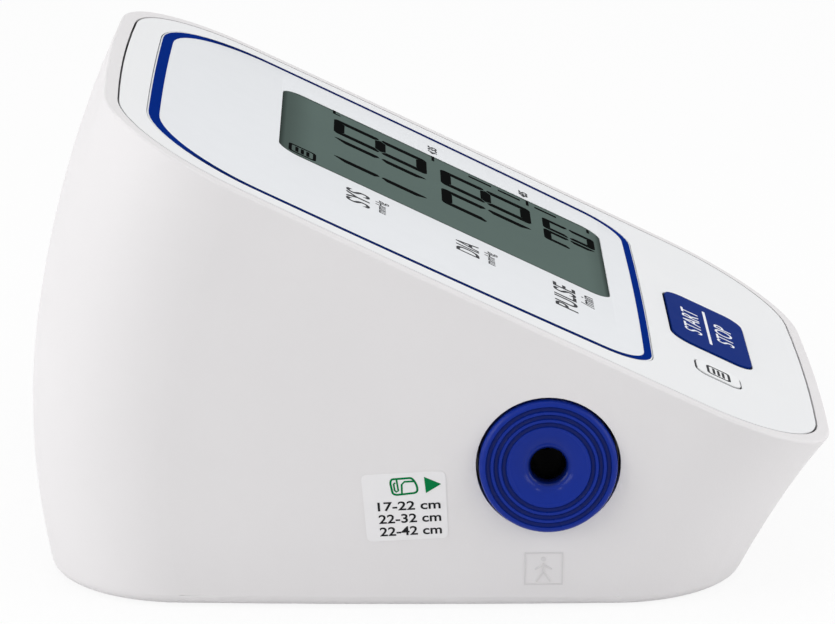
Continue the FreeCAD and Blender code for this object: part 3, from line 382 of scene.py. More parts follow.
# Painted shadow of the mask's edge: darker bands at the ends and a dark line round the cell.
rear_shade = lcd.ramp(slope, *REAR_SHADE, "SMOOTHSTEP")
front_shade = lcd.ramp(slope, *FRONT_SHADE, "SMOOTHSTEP")
tone = lcd.mix(lcd.noise(0.015), rgb(90, 106, 101), rgb(86, 101, 97))
tone = lcd.mix(REAR_SHARE * rear_shade + FRONT_SHARE * front_shade, tone, rgb(48, 58, 54))
to_side = lcd.reckon("ABSOLUTE", across - LCD_MIDDLE["x"] / 1000)
to_end = lcd.reckon("ABSOLUTE", slope - LCD_MIDDLE["y"] / 1000)
rim_shadow = lcd.reckon("MAXIMUM", lcd.ramp(to_side, *SIDE_RIM_SHADOW), lcd.ramp(to_end, *END_RIM_SHADOW))
tone = lcd.mix(RIM_SHADOW_SHARE * rim_shadow, tone, rgb(26, 33, 31))
lcd.set(base_color=tone, roughness=0.22 + 0.06 * lcd.noise(0.002), specular_ior_level=0.0)
lcd.set(coat_weight=0.03, coat_roughness=0.05)
glass = flat_mesh("lcd_cell", [rounded_loop(**LCD_CELL)], LCD_BACK, LCD_LEDGE, LCD_CELL_EDGE)
glass_step = flat_mesh("lcd_step", [rounded_loop(**LCD_STEP)], LCD_STEP_FOOT, LCD_FACE)
lcd_cell = face_piece("lcd_cell", [glass, glass_step], lcd, "case")
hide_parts("lcd_glass")


# Display segments
# Seven-segment figures of a reading, three rows of them, with the scale marks of a level bar at
# the far side and a memory sign in the corner: all etched electrodes that turn dark.
SEGMENTS = {"0": "abcdef", "1": "bc", "7": "abcf", "8": "abcdefg"}
FIGURE_ROWS = (
    ("811", 26.36, 17.39, 12.7, dict(width=9.7, height=17.3, thick=1.95, gap=0.18)),
    ("87", 25.45, -2.48, 12.7, dict(width=9.7, height=16.9, thick=1.95, gap=0.18)),
    ("07", 24.96, -21.65, 7.2, dict(width=6.5, height=9.8, thick=1.4, gap=0.12)),
)
LEVEL_MARKS = ((29.2, -7.93, -12.2), (29.05, -13.5, -17.67), (28.88, -20.44, -24.54))
LEVEL_WIDTH = 0.95
LIMIT_LINES = ((28.69, -1.19), (28.25, -19.06))
LIMIT_LENGTH = 3.2
LIMIT_HALF = 0.25
REAR_MARK = [(29.56, 16.24), (30.1, 16.24), (30.1, 17.14), (31.96, 17.14), (31.96, 17.64), (29.56, 17.64)]
FRONT_MARK = (28.56, -30.83, 30.76, -30.33)
STORED_SIGN = dict(x=-7.07, y=22.81, width=5.0, length=4.9, line=0.55)
CARD_CORNER = 0.7
CARD_BARS = (0.3, 0.5, 0.7)
CARD_MARGIN = 1.9
PRINT_SINK = 0.02


def segment_loops(figure, right, top, width, height, thick, gap):
    """The lit segments of one figure as mitred bars, in mm."""
    left, bottom, middle = right - width, top - height, top - height / 2
    half = thick / 2
    loops = []
    for name in SEGMENTS[figure]:
        if name in "ad":
            edge = top if name == "a" else bottom
            inward = -thick if name == "a" else thick
            round_off = thick * 0.35
            loops.append([(left + gap + round_off, edge), (right - gap - round_off, edge),
                          (right - gap, edge + inward * 0.25), (right - thick - gap, edge + inward),
                          (left + thick + gap, edge + inward), (left + gap, edge + inward * 0.25)])
        elif name == "g":
            loops.append([(left + half + gap, middle), (left + thick + gap, middle + half),
                          (right - thick - gap, middle + half), (right - half - gap, middle),
                          (right - thick - gap, middle - half), (left + thick + gap, middle - half)])
        else:
            edge = right if name in "bc" else left
            inward = -thick if name in "bc" else thick
            far, way = (top, 1) if name in "bf" else (bottom, -1)
            loops.append([(edge, far - way * (gap + thick * 0.3)), (edge, middle + way * (gap + half * 0.4)),
                          (edge + inward * 0.4, middle + way * gap),
                          (edge + inward, middle + way * (gap + half)),
                          (edge + inward, far - way * (gap + thick)), (edge + inward * 0.2, far - way * gap)])
    return loops


def bar(x0, y0, x1, y1):
    """A rectangle between two corners."""
    return [(x0, y0), (x1, y0), (x1, y1), (x0, y1)]


def memory_sign(x, y, width, length, line):
    """A card with bars on it, the sign for stored readings, in mm."""
    left, right = x - width / 2 + CARD_MARGIN * line, x + width / 2 - CARD_MARGIN * line
    loops = [rounded_loop(width, length, x, y, CARD_CORNER, 4)]
    loops.append(rounded_loop(width - 2 * line, length - 2 * line, x, y, CARD_CORNER - line / 2, 4))
    for share in CARD_BARS:
        middle = y - length / 2 + length * share
        loops.append(bar(left, middle - line / 2, right, middle + line / 2))
    return loops


def print_heights(level):
    """Where a print that lies at that level starts and ends, in mm."""
    return level - PRINT_SINK, level + PRINT_STAND


lit = []
for row, right, top, pitch, shape in FIGURE_ROWS:
    for index, figure in enumerate(row):
        lit += segment_loops(figure, right - pitch * index, top, **shape)
for left, rear, front in LEVEL_MARKS:
    lit.append(bar(left, rear, left + LEVEL_WIDTH, front))
for left, middle in LIMIT_LINES:
    lit.append(bar(left, middle - LIMIT_HALF, left + LIMIT_LENGTH, middle + LIMIT_HALF))
lit += [REAR_MARK, bar(*FRONT_MARK)]
lit += memory_sign(**STORED_SIGN)
lcd_black = Finish("lcd_black")
density = lcd_black.noise(0.003)
lcd_black.set(base_color=lcd_black.mix(density, rgb(5, 7, 7), rgb(10, 12, 12)))
lcd_black.set(roughness=0.25 + 0.05 * density, specular_ior_level=0.0)
lcd_black.set(coat_weight=0.01, coat_roughness=0.05)
figures = flat_mesh("lcd_figures", lit, *print_heights(LCD_FACE))
face_piece("lcd_figures", [figures], lcd_black, "case")


# Window prints
# The rows' names and units beside the display and the two limits at its far edge, printed
# under the plate in dark grey. Each word has its box, its middle and how bold it is.
WINDOW_WORDS = (
    ("SYS", 7.9, 4.2, -20.42, 12.83, 0.009), ("mmHg", 7.4, 2.4, -19.62, 8.51, 0.003),
    ("DIA", 7.0, 4.1, -20.1, -6.59, 0.009), ("mmHg", 7.4, 2.4, -19.91, -10.86, 0.003),
    ("PULSE", 13.5, 4.1, -22.34, -23.97, 0.009), ("/min", 6.2, 2.4, -18.54, -28.04, 0.006),
    ("135", 3.9, 1.75, 36.14, -1.13, 0.03), ("85", 2.8, 1.75, 34.9, -18.41, 0.03),
)
POINTER_TIPS = ((33.1, -1.09), (32.66, -18.37))
POINTER_LENGTH = 0.9
POINTER_HALF = 0.5


def word_mesh(word, width, height, x, y, bold, low, high):
    """A word, one unit thick at first, fitted to a box about a point, in mm."""
    text = bpy.data.curves.new("word", "FONT")
    text.body = word
    text.offset = bold
    text.extrude = 0.5
    mesh = solid_of(text, 0)
    corners = [vertex.co.copy() for vertex in mesh.vertices]
    least = [min(corner[axis] for corner in corners) for axis in range(2)]
    most = [max(corner[axis] for corner in corners) for axis in range(2)]
    fit = Matrix.Diagonal((width / (most[0] - least[0]), height / (most[1] - least[1]), high - low, 1))
    centre = Matrix.Translation((-(most[0] + least[0]) / 2, -(most[1] + least[1]) / 2, 0))
    mesh.transform(Matrix.Translation((x, y, (low + high) / 2)) @ fit @ centre)
    return mesh


print_grey = printed("print_grey", rgb(52, 53, 56), rgb(60, 61, 64), 0.08)
words = [word_mesh(*word, *print_heights(0)) for word in WINDOW_WORDS]
pointers = [[(x, y), (x + POINTER_LENGTH, y + POINTER_HALF), (x + POINTER_LENGTH, y - POINTER_HALF)]
            for x, y in POINTER_TIPS]
words.append(flat_mesh("limit_pointers", pointers, *print_heights(0)))
face_piece("window_words", words, print_grey, "case")


# Start and stop key
# A blue ABS key cap that slides in its own hole in the panel, on a switch below. The words and
# the line between them are printed in white on its flat top.
START_TOP = 0.3
START_WORDS = (("START", 13.2, 3.2, -0.96, -47.95, 0.0), ("STOP", 10.4, 3.2, -0.86, -54.0, 0.0))
START_RULE = dict(width=19.6, length=0.5, x=-0.7, y=-50.9, corner=0.2)
KEY_GAP_START = 0.00003
key_blue = moulded("key_blue", rgb(12, 42, 118), rgb(10, 39, 112), 0.5, 0.0003, 0.000006, 0.006)
# Painted shade on the key's sides down in the gap round it.
paint_gap_shade(key_blue, KEY_GAP_START, rgb(4, 8, 36), 0.8)
dress(key_blue, "start_stop_button")
key_print = printed("key_print", rgb(236, 238, 242), rgb(228, 231, 238), 0.08)
caps = [word_mesh(*word, *print_heights(START_TOP)) for word in START_WORDS]
caps.append(flat_mesh("key_rule", [rounded_loop(**START_RULE)], *print_heights(START_TOP)))
face_piece("start_words", caps, key_print, "start_key")


# Memory key
# A small white key cap beside the first, made in the same way, with a sign for stored readings.
# The sign is printed in the grey of the window's words.
MEMORY_TOP = 0.15
MEMORY_SIGN = dict(x=-26.5, y=-51.0, width=4.6, length=4.2, line=0.45)
key_white = moulded("key_white", rgb(232, 233, 234), rgb(228, 229, 231), 0.4, 0.0003, 0.000006)
# Painted shade on the key's sides down in the gap round it.
paint_gap_shade(key_white, KEY_GAP_START, rgb(60, 60, 64), 0.9)
dress(key_white, "memory_button")
sign = flat_mesh("memory_sign", memory_sign(**MEMORY_SIGN), *print_heights(MEMORY_TOP))
face_piece("memory_sign", [sign], print_grey, "memory_key")


# Air socket
# A blue moulding in the left wall with three grooves round its dished middle, which the cuff's
# plug is pushed into. Little light gets into its bore and grooves; that shade is painted into
# its colour, the grooves darker and the mouth and bore nearly black.
JACK_AXIS = (-0.0181, 0.02445)
JACK_FRONT = -0.051085
MOUTH_SHADE = (0.0037, 0.0024)
BORE_SHADE = (-0.0496, -0.0480)
GROOVES = (0.0064, 0.00995)
GROOVE_SHADE = (JACK_FRONT + 0.00002, JACK_FRONT + 0.0003)
GROOVE_SHARE = 0.5
DISH = (0.0062, 0.0036)
DISH_SINK = 0.0004
JACK_GRAIN = 0.0004
JACK_GRAIN_DEPTH = 0.000003
jack_blue = Finish("jack_blue")
inward, along, up = jack_blue.axes()
beside = along - JACK_AXIS[0]
above = up - JACK_AXIS[1]
radius = jack_blue.reckon("SQRT", beside * beside + above * above)
grooved = (radius > GROOVES[0]) * (radius < GROOVES[1])
# Painted shade: the grooves darker, and the mouth and bore nearly black.
groove_shade_depth = jack_blue.ramp(inward, *GROOVE_SHADE)
mouth_shade = jack_blue.ramp(radius, *MOUTH_SHADE, "SMOOTHSTEP")
bore_shade_depth = jack_blue.ramp(inward, *BORE_SHADE)
painted_bore_shade = jack_blue.reckon("MAXIMUM", mouth_shade, bore_shade_depth * (radius < MOUTH_SHADE[0]))
plain = jack_blue.mottled(FLOW_SIZE, rgb(14, 42, 138), rgb(12, 39, 131))
shaded = jack_blue.mix(GROOVE_SHARE * groove_shade_depth * grooved, plain, rgb(4, 12, 56))
jack_blue.set(base_color=jack_blue.mix(painted_bore_shade, shaded, rgb(2, 3, 8)), specular_ior_level=0.13)
dish = jack_blue.ramp(radius, *DISH)
jack_blue.bump(-DISH_SINK * (dish * dish * dish) + JACK_GRAIN_DEPTH * jack_blue.noise(JACK_GRAIN), 1.0)
jack_blue.set(roughness=0.24 - 0.12 * dish + 0.08 * jack_blue.noise(SHEEN_SIZE))
dress(jack_blue, "air_jack")


# Cuff label
# A white sticker on the left wall by the socket: a rolled cuff and a pointer to the socket in
# green, and three arm sizes in black. It lies on the wall and follows it.
LABEL = [(11.07, 22.58), (-2.06, 23.4), (-2.64, 12.03), (10.02, 11.27)]
LABEL_CORNER = 1.0
LABEL_STAND = 0.09
PICTURE_STAND = 0.12
POINTER = ((74.5, 7.1), (94.5, 18.9), (75.8, 31.3))
ROLL = ((35.5, 8.5), (59.5, 7.8), (63.0, 13.0), (65.5, 20.0), (66.0, 27.5), (63.5, 30.2),
        (40.0, 32.0), (36.0, 30.0), (34.0, 14.0))
ROLL_CORNER = 0.3
ROLL_LINE = 0.4
FLAP = ((63.0, 13.0), (51.0, 13.0), (47.5, 17.0), (47.0, 31.2))
FLAP_LINE = 0.36
INNER_TURN = ((41.7, 9.0), (43.0, 26.0), (40.5, 27.6), (38.6, 25.0), (38.0, 15.5), (40.0, 14.0))
INNER_LINE = 0.34
ARM_SIZES = ("17-22 cm", "22-32 cm", "22-42 cm")
SIZE_BOX = (0.76, 0.134)
SIZE_MIDDLE = 0.545
FIRST_SIZE = 0.487
SIZE_PITCH = 0.188
SIZE_BOLD = 0.018
SIZE_HEIGHTS = (-0.05, 0.115)
WALL_SINK = -0.03
LINE_TOP = 0.8
BESIDE_WALL = -0.08
tub = nodes["case_tub"].data
wall_tree = BVHTree.FromPolygons([vertex.co.copy() for vertex in tub.vertices],
                                 [tuple(face.vertices) for face in tub.polygons])


def on_wall(y, z, stand):
    """The point of the left wall at that place, in m from mm, lifted off it by the stand."""
    outside = Vector((BESIDE_WALL, y / 1000, z / 1000))
    hit, normal, _, _ = wall_tree.ray_cast(outside, Vector((1, 0, 0)))
    outward = normal if normal.x < 0 else -normal
    return hit + outward * (stand / 1000)


def wall_patch(shell, loop, stand, rings=6):
    """A sheet inside a loop of (y, z) points, let into the wall by a little."""
    y0 = sum(point[0] for point in loop) / len(loop)
    z0 = sum(point[1] for point in loop) / len(loop)
    centre = shell.verts.new(on_wall(y0, z0, stand))
    last = None
    for ring in range(1, rings + 2):
        share = min(ring, rings) / rings
        lift = stand if ring <= rings else WALL_SINK
        row = [shell.verts.new(on_wall(y0 + (y - y0) * share, z0 + (z - z0) * share, lift)) for y, z in loop]
        for index, corner in enumerate(row):
            after = row[(index + 1) % len(row)]
            if last is None:
                shell.faces.new((centre, corner, after))
            else:
                shell.faces.new((last[index], corner, after, last[(index + 1) % len(row)]))
        last = row
    shell.faces.new(last)


def wall_line(shell, path, width, stand, closed=False):
    """A raised line along a path of (y, z) points on the wall."""
    count = len(path)
    section = ((1, WALL_SINK), (LINE_TOP, stand), (-LINE_TOP, stand), (-1, WALL_SINK))
    rows = []
    for index, (y, z) in enumerate(path):
        before = path[index - 1] if closed or index else path[index]
        after = path[(index + 1) % count] if closed or index < count - 1 else path[index]
        run = Vector((after[0] - before[0], after[1] - before[1])).normalized()
        side = Vector((-run.y, run.x)) * (width / 2)
        rows.append([shell.verts.new(on_wall(y + side.x * share, z + side.y * share, lift))
                     for share, lift in section])
    followers = rows[1:] + rows[:1] if closed else rows[1:]
    for first, second in zip(rows, followers):
        for index in range(len(section)):
            beside = (index + 1) % len(section)
            shell.faces.new((first[index], first[beside], second[beside], second[index]))
    if not closed:
        shell.faces.new(rows[0])
        shell.faces.new(rows[-1])


def wall_piece(name, shell, finish):
    """One piece of the left wall, from a mesh that lies on it in m."""
    return finished_piece(name, shell, MERGE_MM / 1000, Matrix.Identity(4), finish, "case")


def rounded_corners(corners, radius, steps=6):
    """A polygon's corners cut round, in mm."""
    loop = []
    for index, corner in enumerate(corners):
        here = Vector(corner)
        back = (Vector(corners[index - 1]) - here).normalized() * radius
        ahead = (Vector(corners[(index + 1) % len(corners)]) - here).normalized() * radius
        for step in range(steps + 1):
            t = step / steps
            point = (here + back) * (1 - t) ** 2 + here * 2 * t * (1 - t) + (here + ahead) * t ** 2
            loop.append((point.x, point.y))
    return loop


def on_label(across, down):
    """A place on the label, from 0 to 1 across from its rear edge and down from its top."""
    top = Vector(LABEL[0]).lerp(Vector(LABEL[1]), across)
    foot = Vector(LABEL[3]).lerp(Vector(LABEL[2]), across)
    point = top.lerp(foot, down)
    return point.x, point.y


def label_path(places):
    """Places in hundredths across and down the label, as points of the wall."""
    return [on_label(across / 100, down / 100) for across, down in places]


label_white = printed("label_white", rgb(230, 229, 230), rgb(227, 226, 228), 0.1)
sticker = bmesh.new()
wall_patch(sticker, rounded_corners(LABEL, LABEL_CORNER), LABEL_STAND)
wall_piece("cuff_label", sticker, label_white)

label_green = printed("label_green", rgb(0, 122, 66), rgb(2, 112, 60), 0.1)
picture = bmesh.new()
wall_patch(picture, label_path(POINTER), PICTURE_STAND, 3)
wall_line(picture, rounded_corners(label_path(ROLL), ROLL_CORNER, 3), ROLL_LINE, PICTURE_STAND, True)
wall_line(picture, label_path(FLAP), FLAP_LINE, PICTURE_STAND)
wall_line(picture, label_path(INNER_TURN), INNER_LINE, PICTURE_STAND)
wall_piece("label_picture", picture, label_green)

print_black = printed("print_black", rgb(34, 34, 36), rgb(44, 44, 46), 0.02)
sizes = bmesh.new()
for row, word in enumerate(ARM_SIZES):
    middle = FIRST_SIZE + SIZE_PITCH * row
    line = word_mesh(word, *SIZE_BOX, SIZE_MIDDLE, middle, SIZE_BOLD, *SIZE_HEIGHTS)
    for vertex in line.vertices:
        y, z = on_label(vertex.co.x, 2 * middle - vertex.co.y)
        vertex.co = on_wall(y, z, vertex.co.z)
    sizes.from_mesh(line)
    bpy.data.meshes.remove(line)
wall_piece("label_sizes", sizes, print_black)


# Raised sign
# A small square with a standing figure in it, moulded into the left wall below the socket and
# hardly raised, the mark for a part that touches the wearer.
SIGN = [(-14.7, 9.3), (-20.57, 9.3), (-20.57, 3.9), (-14.7, 3.9)]
SIGN_LINE = 0.34
SIGN_STAND = 0.1
LIMBS = (((-17.6, 7.6), (-17.6, 6.0)), ((-17.6, 6.1), (-18.7, 4.4)), ((-17.6, 6.1), (-16.5, 4.4)),
         ((-17.6, 7.3), (-18.9, 6.5)), ((-17.6, 7.3), (-16.3, 6.5)))
HEAD = (-17.6, 8.3)
HEAD_RADIUS = 0.4
raised = bmesh.new()
wall_line(raised, SIGN, SIGN_LINE, SIGN_STAND, True)
for limb in LIMBS:
    wall_line(raised, limb, SIGN_LINE, SIGN_STAND)
wall_patch(raised, arc(HEAD, HEAD_RADIUS, 0, 2 * math.pi, 12), SIGN_STAND, 2)
sign_white = moulded("sign_white", rgb(211, 209, 210), rgb(207, 205, 206), 0.5, 0.00045, 0.000008)
wall_piece("raised_sign", raised, sign_white)


# Battery cover
# The door of the battery bay in the underside: the same white ABS as the tub, hung on two
# tongues and held by a spring catch.
cover_white = moulded("cover_white", rgb(225, 225, 227), rgb(221, 221, 224), 0.52, 0.00045, 0.000012)
dress(cover_white, "battery_cover")


# Cells and contacts
# Four AA cells lie side by side, each the other way round: steel cans in a printed sleeve that
# is bare at both ends and has a light band by the button. Plates of nickelled steel join them.
CELL_PITCH = 0.015
SLEEVE_ENDS = (-0.0214, 0.0263)
BAND_ENDS = (0.0165, 0.0215)
DRAWN_LINES = (400, 4000, 4000)
DRAWN_DEPTH = 0.000004
DRAWN_SPREAD = 0.12
TARNISH_SIZE = 0.003
cell_can = Finish("cell_can")
cell_x, cell_y, _ = cell_can.axes()
cell_number = cell_can.reckon("FLOOR", (cell_y + CELL_PITCH) * (1 / CELL_PITCH))
cell_way = 1 - 2 * cell_can.reckon("MODULO", cell_number, 2.0)
to_button = cell_x * cell_way
sleeve = (to_button > SLEEVE_ENDS[0]) * (to_button < SLEEVE_ENDS[1])
band = (to_button > BAND_ENDS[0]) * (to_button < BAND_ENDS[1])
sleeve_ink = cell_can.mix(band, rgb(58, 74, 90), rgb(198, 202, 206))
cell_can.set(base_color=cell_can.mix(sleeve, rgb(196, 196, 192), sleeve_ink), metallic=1.0 - 0.7 * sleeve)
cell_can.set(roughness=0.24 + 0.12 * cell_can.noise(0.0015, 4.0))
dress(cell_can, "aa_cells")


def metal(name, colour, shade, roughness):
    """Plated or drawn metal, with fine drawing lines and an uneven sheen."""
    finish = Finish(name)
    stretch = finish.node("Mapping", {}, {"Vector": finish.place(), "Scale": DRAWN_LINES})
    lines = finish.node("TexNoise", {}, {"Vector": stretch, "Scale": 1.0, "Detail": 2.0}, "Fac")
    finish.set(base_color=finish.mottled(TARNISH_SIZE, colour, shade), metallic=1.0)
    finish.set(roughness=roughness - DRAWN_SPREAD / 2 + DRAWN_SPREAD * lines)
    finish.bump(lines, DRAWN_DEPTH)
    return finish


contact_steel = metal("contact_steel", rgb(206, 205, 200), rgb(190, 189, 186), 0.3)
dress(contact_steel, "battery_plates")


# Battery springs
# A wound spring bears on the flat end of each cell: nickelled wire in a coil that narrows
# towards the cell. Neighbouring cells lie the other way round, and so do their springs.
SPRINGS = {"Turns": 4.5, "Foot Radius": 0.0038, "Tip Radius": 0.0022, "Length": 0.0054, "Wire": 0.0004,
           "Seat": 0.02795, "Pitch": CELL_PITCH}
FIRST_SPRING = (0.0, -0.0075, 0.00975)
CELL_COUNT = 4
winding = bpy.data.node_groups.new("wound_springs", "GeometryNodeTree")
winding.interface.new_socket("Geometry", in_out="OUTPUT", socket_type="NodeSocketGeometry")
asked = {name: winding.interface.new_socket(name, in_out="INPUT", socket_type="NodeSocketFloat")
         for name in SPRINGS}
coils = Nodes(winding)
inlet = winding.nodes.new("NodeGroupInput").outputs
given = {name: Socket(coils, inlet[name]) for name in SPRINGS}
spiral = coils.node("GeometryNodeCurveSpiral", {}, {
    "Resolution": 24, "Rotations": given["Turns"], "Start Radius": given["Foot Radius"],
    "End Radius": given["Tip Radius"], "Height": given["Length"]})
wire = coils.node("GeometryNodeCurvePrimitiveCircle", {}, {"Resolution": 10, "Radius": given["Wire"]})
coil = coils.node("GeometryNodeCurveToMesh", {}, {
    "Curve": spiral, "Profile Curve": wire, "Fill Caps": True})
to_next = coils.node("CombineXYZ", {}, {"Y": given["Pitch"]})
seats = coils.node("GeometryNodeMeshLine", {}, {
    "Count": CELL_COUNT, "Start Location": FIRST_SPRING, "Offset": to_next})
spring_number = coils.node("GeometryNodeInputIndex", {}, {})
spring_way = 1 - 2 * coils.reckon("MODULO", spring_number, 2.0)
shift = coils.node("CombineXYZ", {}, {"X": -1 * spring_way * given["Seat"]})
seats = coils.node("GeometryNodeSetPosition", {}, {"Geometry": seats, "Offset": shift})
turn = coils.node("CombineXYZ", {}, {"Y": spring_way * (math.pi / 2)})
placed = coils.node("GeometryNodeInstanceOnPoints", {}, {
    "Points": seats, "Instance": coil, "Rotation": turn})
solid = coils.node("GeometryNodeRealizeInstances", {}, {"Geometry": placed})
solid = coils.node("GeometryNodeSetMaterial", {}, {"Geometry": solid, "Material": contact_steel.material})
coils.feed(winding.nodes.new("NodeGroupOutput").inputs["Geometry"], solid)

battery_coils = bpy.data.objects.new("battery_coils", bpy.data.meshes.new("coil_carrier"))
bpy.context.scene.collection.objects.link(battery_coils)
modifier = battery_coils.modifiers.new("winding", "NODES")
modifier.node_group = winding
for name, value in SPRINGS.items():
    modifier[asked[name].identifier] = value
view = bpy.context.evaluated_depsgraph_get()
wound = bpy.data.meshes.new_from_object(battery_coils.evaluated_get(view))
battery_coils.modifiers.remove(modifier)
battery_coils.data = wound
wound.polygons.foreach_set("use_smooth", [True] * len(wound.polygons))
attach(battery_coils, "case")
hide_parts("battery_springs")


# Electronics
# The board carries the display's holder, the two switches and the pressure sensor, and hangs
# under the panel on four screws.
board_green = Finish("board_green")
tracks = board_green.node("TexBrick", {"offset": 0.37}, {
    "Vector": board_green.place(), "Scale": 220.0, "Mortar Size": 0.03, "Mortar Smooth": 0.1,
    "Color1": rgb(18, 92, 52), "Color2": rgb(16, 86, 48), "Mortar": rgb(40, 128, 76)})
board_green.set(base_color=tracks, roughness=0.32 + 0.08 * board_green.noise(0.002))
dress(board_green, "main_board")
dress(moulded("holder_white", rgb(224, 224, 220), rgb(218, 218, 214), 0.5, 0.0004, 0.00001), "lcd_holder")
dress(moulded("zebra_rubber", rgb(58, 58, 62), rgb(86, 84, 86), 0.7, 0.0003, 0.00001), "zebra_strips")
dress(moulded("switch_black", rgb(30, 30, 32), rgb(38, 38, 40), 0.45, 0.0003, 0.00001), "tact_switches")
dress(moulded("plunger_black", rgb(34, 34, 36), rgb(26, 26, 28), 0.4, 0.0003, 0.000008),
      "start_plunger", "memory_plunger")
dress(moulded("sensor_black", rgb(32, 33, 35), rgb(40, 40, 42), 0.42, 0.0003, 0.00001), "pressure_sensor")
dress(metal("screw_steel", rgb(176, 176, 178), rgb(150, 150, 154), 0.34), "board_screws", "case_screws")


# Air pump, valve and tubes
# A small motor drives a diaphragm pump; silicone tubes run from it through a joint to the socket,
# the sensor and the valve that lets the air out.
dress(moulded("nut_plastic", rgb(60, 62, 66), rgb(52, 54, 58), 0.45, 0.0004, 0.00001), "jack_nut")
dress(moulded("manifold_plastic", rgb(214, 214, 206), rgb(206, 206, 198), 0.42, 0.0004, 0.00001),
      "air_manifold")
dress(moulded("pump_plastic", rgb(48, 50, 54), rgb(56, 58, 62), 0.42, 0.0004, 0.00001), "pump_head")
dress(moulded("mount_rubber", rgb(36, 36, 38), rgb(44, 43, 44), 0.75, 0.0005, 0.00002), "pump_mount")
dress(moulded("valve_plastic", rgb(220, 218, 208), rgb(212, 210, 200), 0.45, 0.0004, 0.00001), "valve_body")
dress(moulded("tube_silicone", rgb(214, 216, 214), rgb(204, 207, 205), 0.5, 0.0006, 0.00001),
      "tube_jack", "tube_pump", "tube_sensor", "tube_valve")
dress(metal("motor_can", rgb(196, 197, 198), rgb(180, 181, 184), 0.28), "pump_motor")
dress(metal("coil_steel", rgb(170, 171, 174), rgb(150, 151, 156), 0.36), "valve_coil")


# Floor
# A plain pale sheet that the monitor stands on. It shows white, and keeps a part of the shadow.
# It lies a hair below the monitor's foot.
FLOOR_HALF = 4.0
FLOOR_LEVEL = -0.0002
SHADOW_SHARE = 0.12
PAPER_GREY = (0.86, 0.86, 0.86, 1)
WHITE = (1, 1, 1, 1)


def seen(tree):
    """1 for rays that show a background: from the camera, a gloss or a clear piece."""
    path = tree.node("LightPath", {}, {}).output.node.outputs
    names = ("Is Camera Ray", "Is Glossy Ray", "Is Transmission Ray")
    camera, gloss, clear = [Socket(tree, path[name]) for name in names]
    return tree.reckon("MINIMUM", camera + gloss + clear, 1.0)


sheet = bmesh.new()
bmesh.ops.create_grid(sheet, x_segments=8, y_segments=8, size=FLOOR_HALF)
floor_mesh = bpy.data.meshes.new("floor")
sheet.to_mesh(floor_mesh)
sheet.free()
floor = bpy.data.objects.new("floor", floor_mesh)
floor.location.z = FLOOR_LEVEL
bpy.context.scene.collection.objects.link(floor)
paper = Finish("floor_paper")
paper.set(base_color=PAPER_GREY, roughness=0.9)
lit_paper = Socket(paper, paper.surface.outputs[0])
white = paper.node("Emission", {}, {"Color": WHITE, "Strength": 1.0})
shown = paper.node("MixShader", {}, {0: (1 - SHADOW_SHARE) * seen(paper), 1: lit_paper, 2: white})
paper.feed(paper.tree.nodes["Material Output"].inputs["Surface"], shown)
floor_mesh.materials.append(paper.material)


# Light
# Soft studio light: a white surround and large lamps at both ends and above, so that the wall
# towards the camera is a little greyer than the ends and the sloping face. Two small lamps by
# the camera give the socket its highlights.
AMBIENT = 0.5
ON_CASE = (0, 0, 0.03)
ON_SOCKET = (-0.05, -0.02, 0.03)
world = bpy.data.worlds.new("surround")
bpy.context.scene.world = world
world.use_nodes = True
surround = Nodes(world.node_tree)
ambient = surround.node("Background", {}, {"Color": WHITE, "Strength": AMBIENT})
backdrop = surround.node("Background", {}, {"Color": WHITE, "Strength": 1.0})
chosen = surround.node("MixShader", {}, {0: seen(surround), 1: ambient, 2: backdrop})
surround.feed(world.node_tree.nodes["World Output"].inputs["Surface"], chosen)


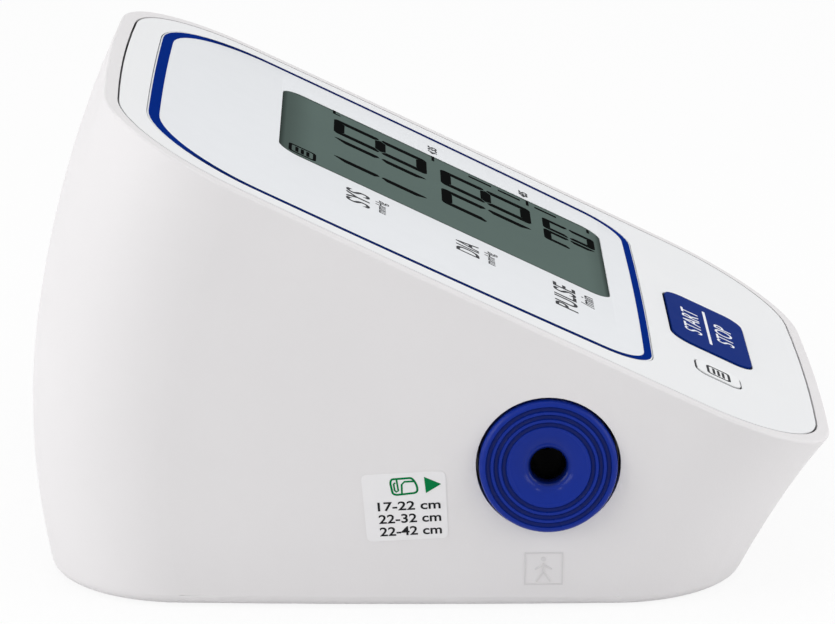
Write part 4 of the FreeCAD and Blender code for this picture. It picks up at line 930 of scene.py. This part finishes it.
def lamp(name, place, aim, width, height, power):
    """A flat lamp that faces a point."""
    light = bpy.data.lights.new(name, "AREA")
    light.shape = "RECTANGLE"
    light.size = width
    light.size_y = height
    light.energy = power
    holder = bpy.data.objects.new(name, light)
    bpy.context.scene.collection.objects.link(holder)
    run = Vector(aim) - Vector(place)
    holder.matrix_world = Matrix.Translation(place) @ run.to_track_quat("-Z", "Y").to_matrix().to_4x4()


lamp("top_lamp", (0.1, 0.0, 1.2), ON_CASE, 1.2, 1.2, 4.5)
lamp("rear_lamp", (-0.4, 1.1, 0.45), ON_CASE, 0.9, 0.8, 7.8)
lamp("front_lamp", (-0.3, -1.1, 0.45), ON_CASE, 0.9, 0.8, 6.0)
lamp("left_spot", (-0.75, 0.42, 0.62), ON_SOCKET, 0.06, 0.06, 0.25)
lamp("right_spot", (-0.75, -0.46, 0.62), ON_SOCKET, 0.06, 0.06, 0.25)


# Camera
# It stands by the left wall, a little above the monitor, and looks slightly down on it.
# The frame is shifted a little, as the photograph is.
CAMERA_PLACE = Vector((-0.733912, 0.009676, 0.242512))
CAMERA_AIM = Vector((0.963135, -0.011333, -0.268781)).normalized()
CAMERA_ROLL = math.radians(0.22306)
FOCAL_LENGTH = 199.13
FRAME_SHIFT = (-0.00556, -0.01795)
level = CAMERA_AIM.cross(Vector((0, 0, 1))).normalized()
upright = level.cross(CAMERA_AIM)
right = level * math.cos(CAMERA_ROLL) + upright * math.sin(CAMERA_ROLL)
top = upright * math.cos(CAMERA_ROLL) - level * math.sin(CAMERA_ROLL)
lens = bpy.data.cameras.new("camera")
lens.sensor_width = 36.0
lens.sensor_fit = "HORIZONTAL"
lens.lens = FOCAL_LENGTH
lens.shift_x, lens.shift_y = FRAME_SHIFT
lens.clip_start = 0.01
camera = bpy.data.objects.new("camera", lens)
camera.matrix_world = Matrix((
    (right.x, top.x, -CAMERA_AIM.x, CAMERA_PLACE.x),
    (right.y, top.y, -CAMERA_AIM.y, CAMERA_PLACE.y),
    (right.z, top.z, -CAMERA_AIM.z, CAMERA_PLACE.z),
    (0, 0, 0, 1)))
bpy.context.scene.collection.objects.link(camera)
bpy.context.scene.camera = camera
bpy.context.scene.view_settings.view_transform = "Standard"
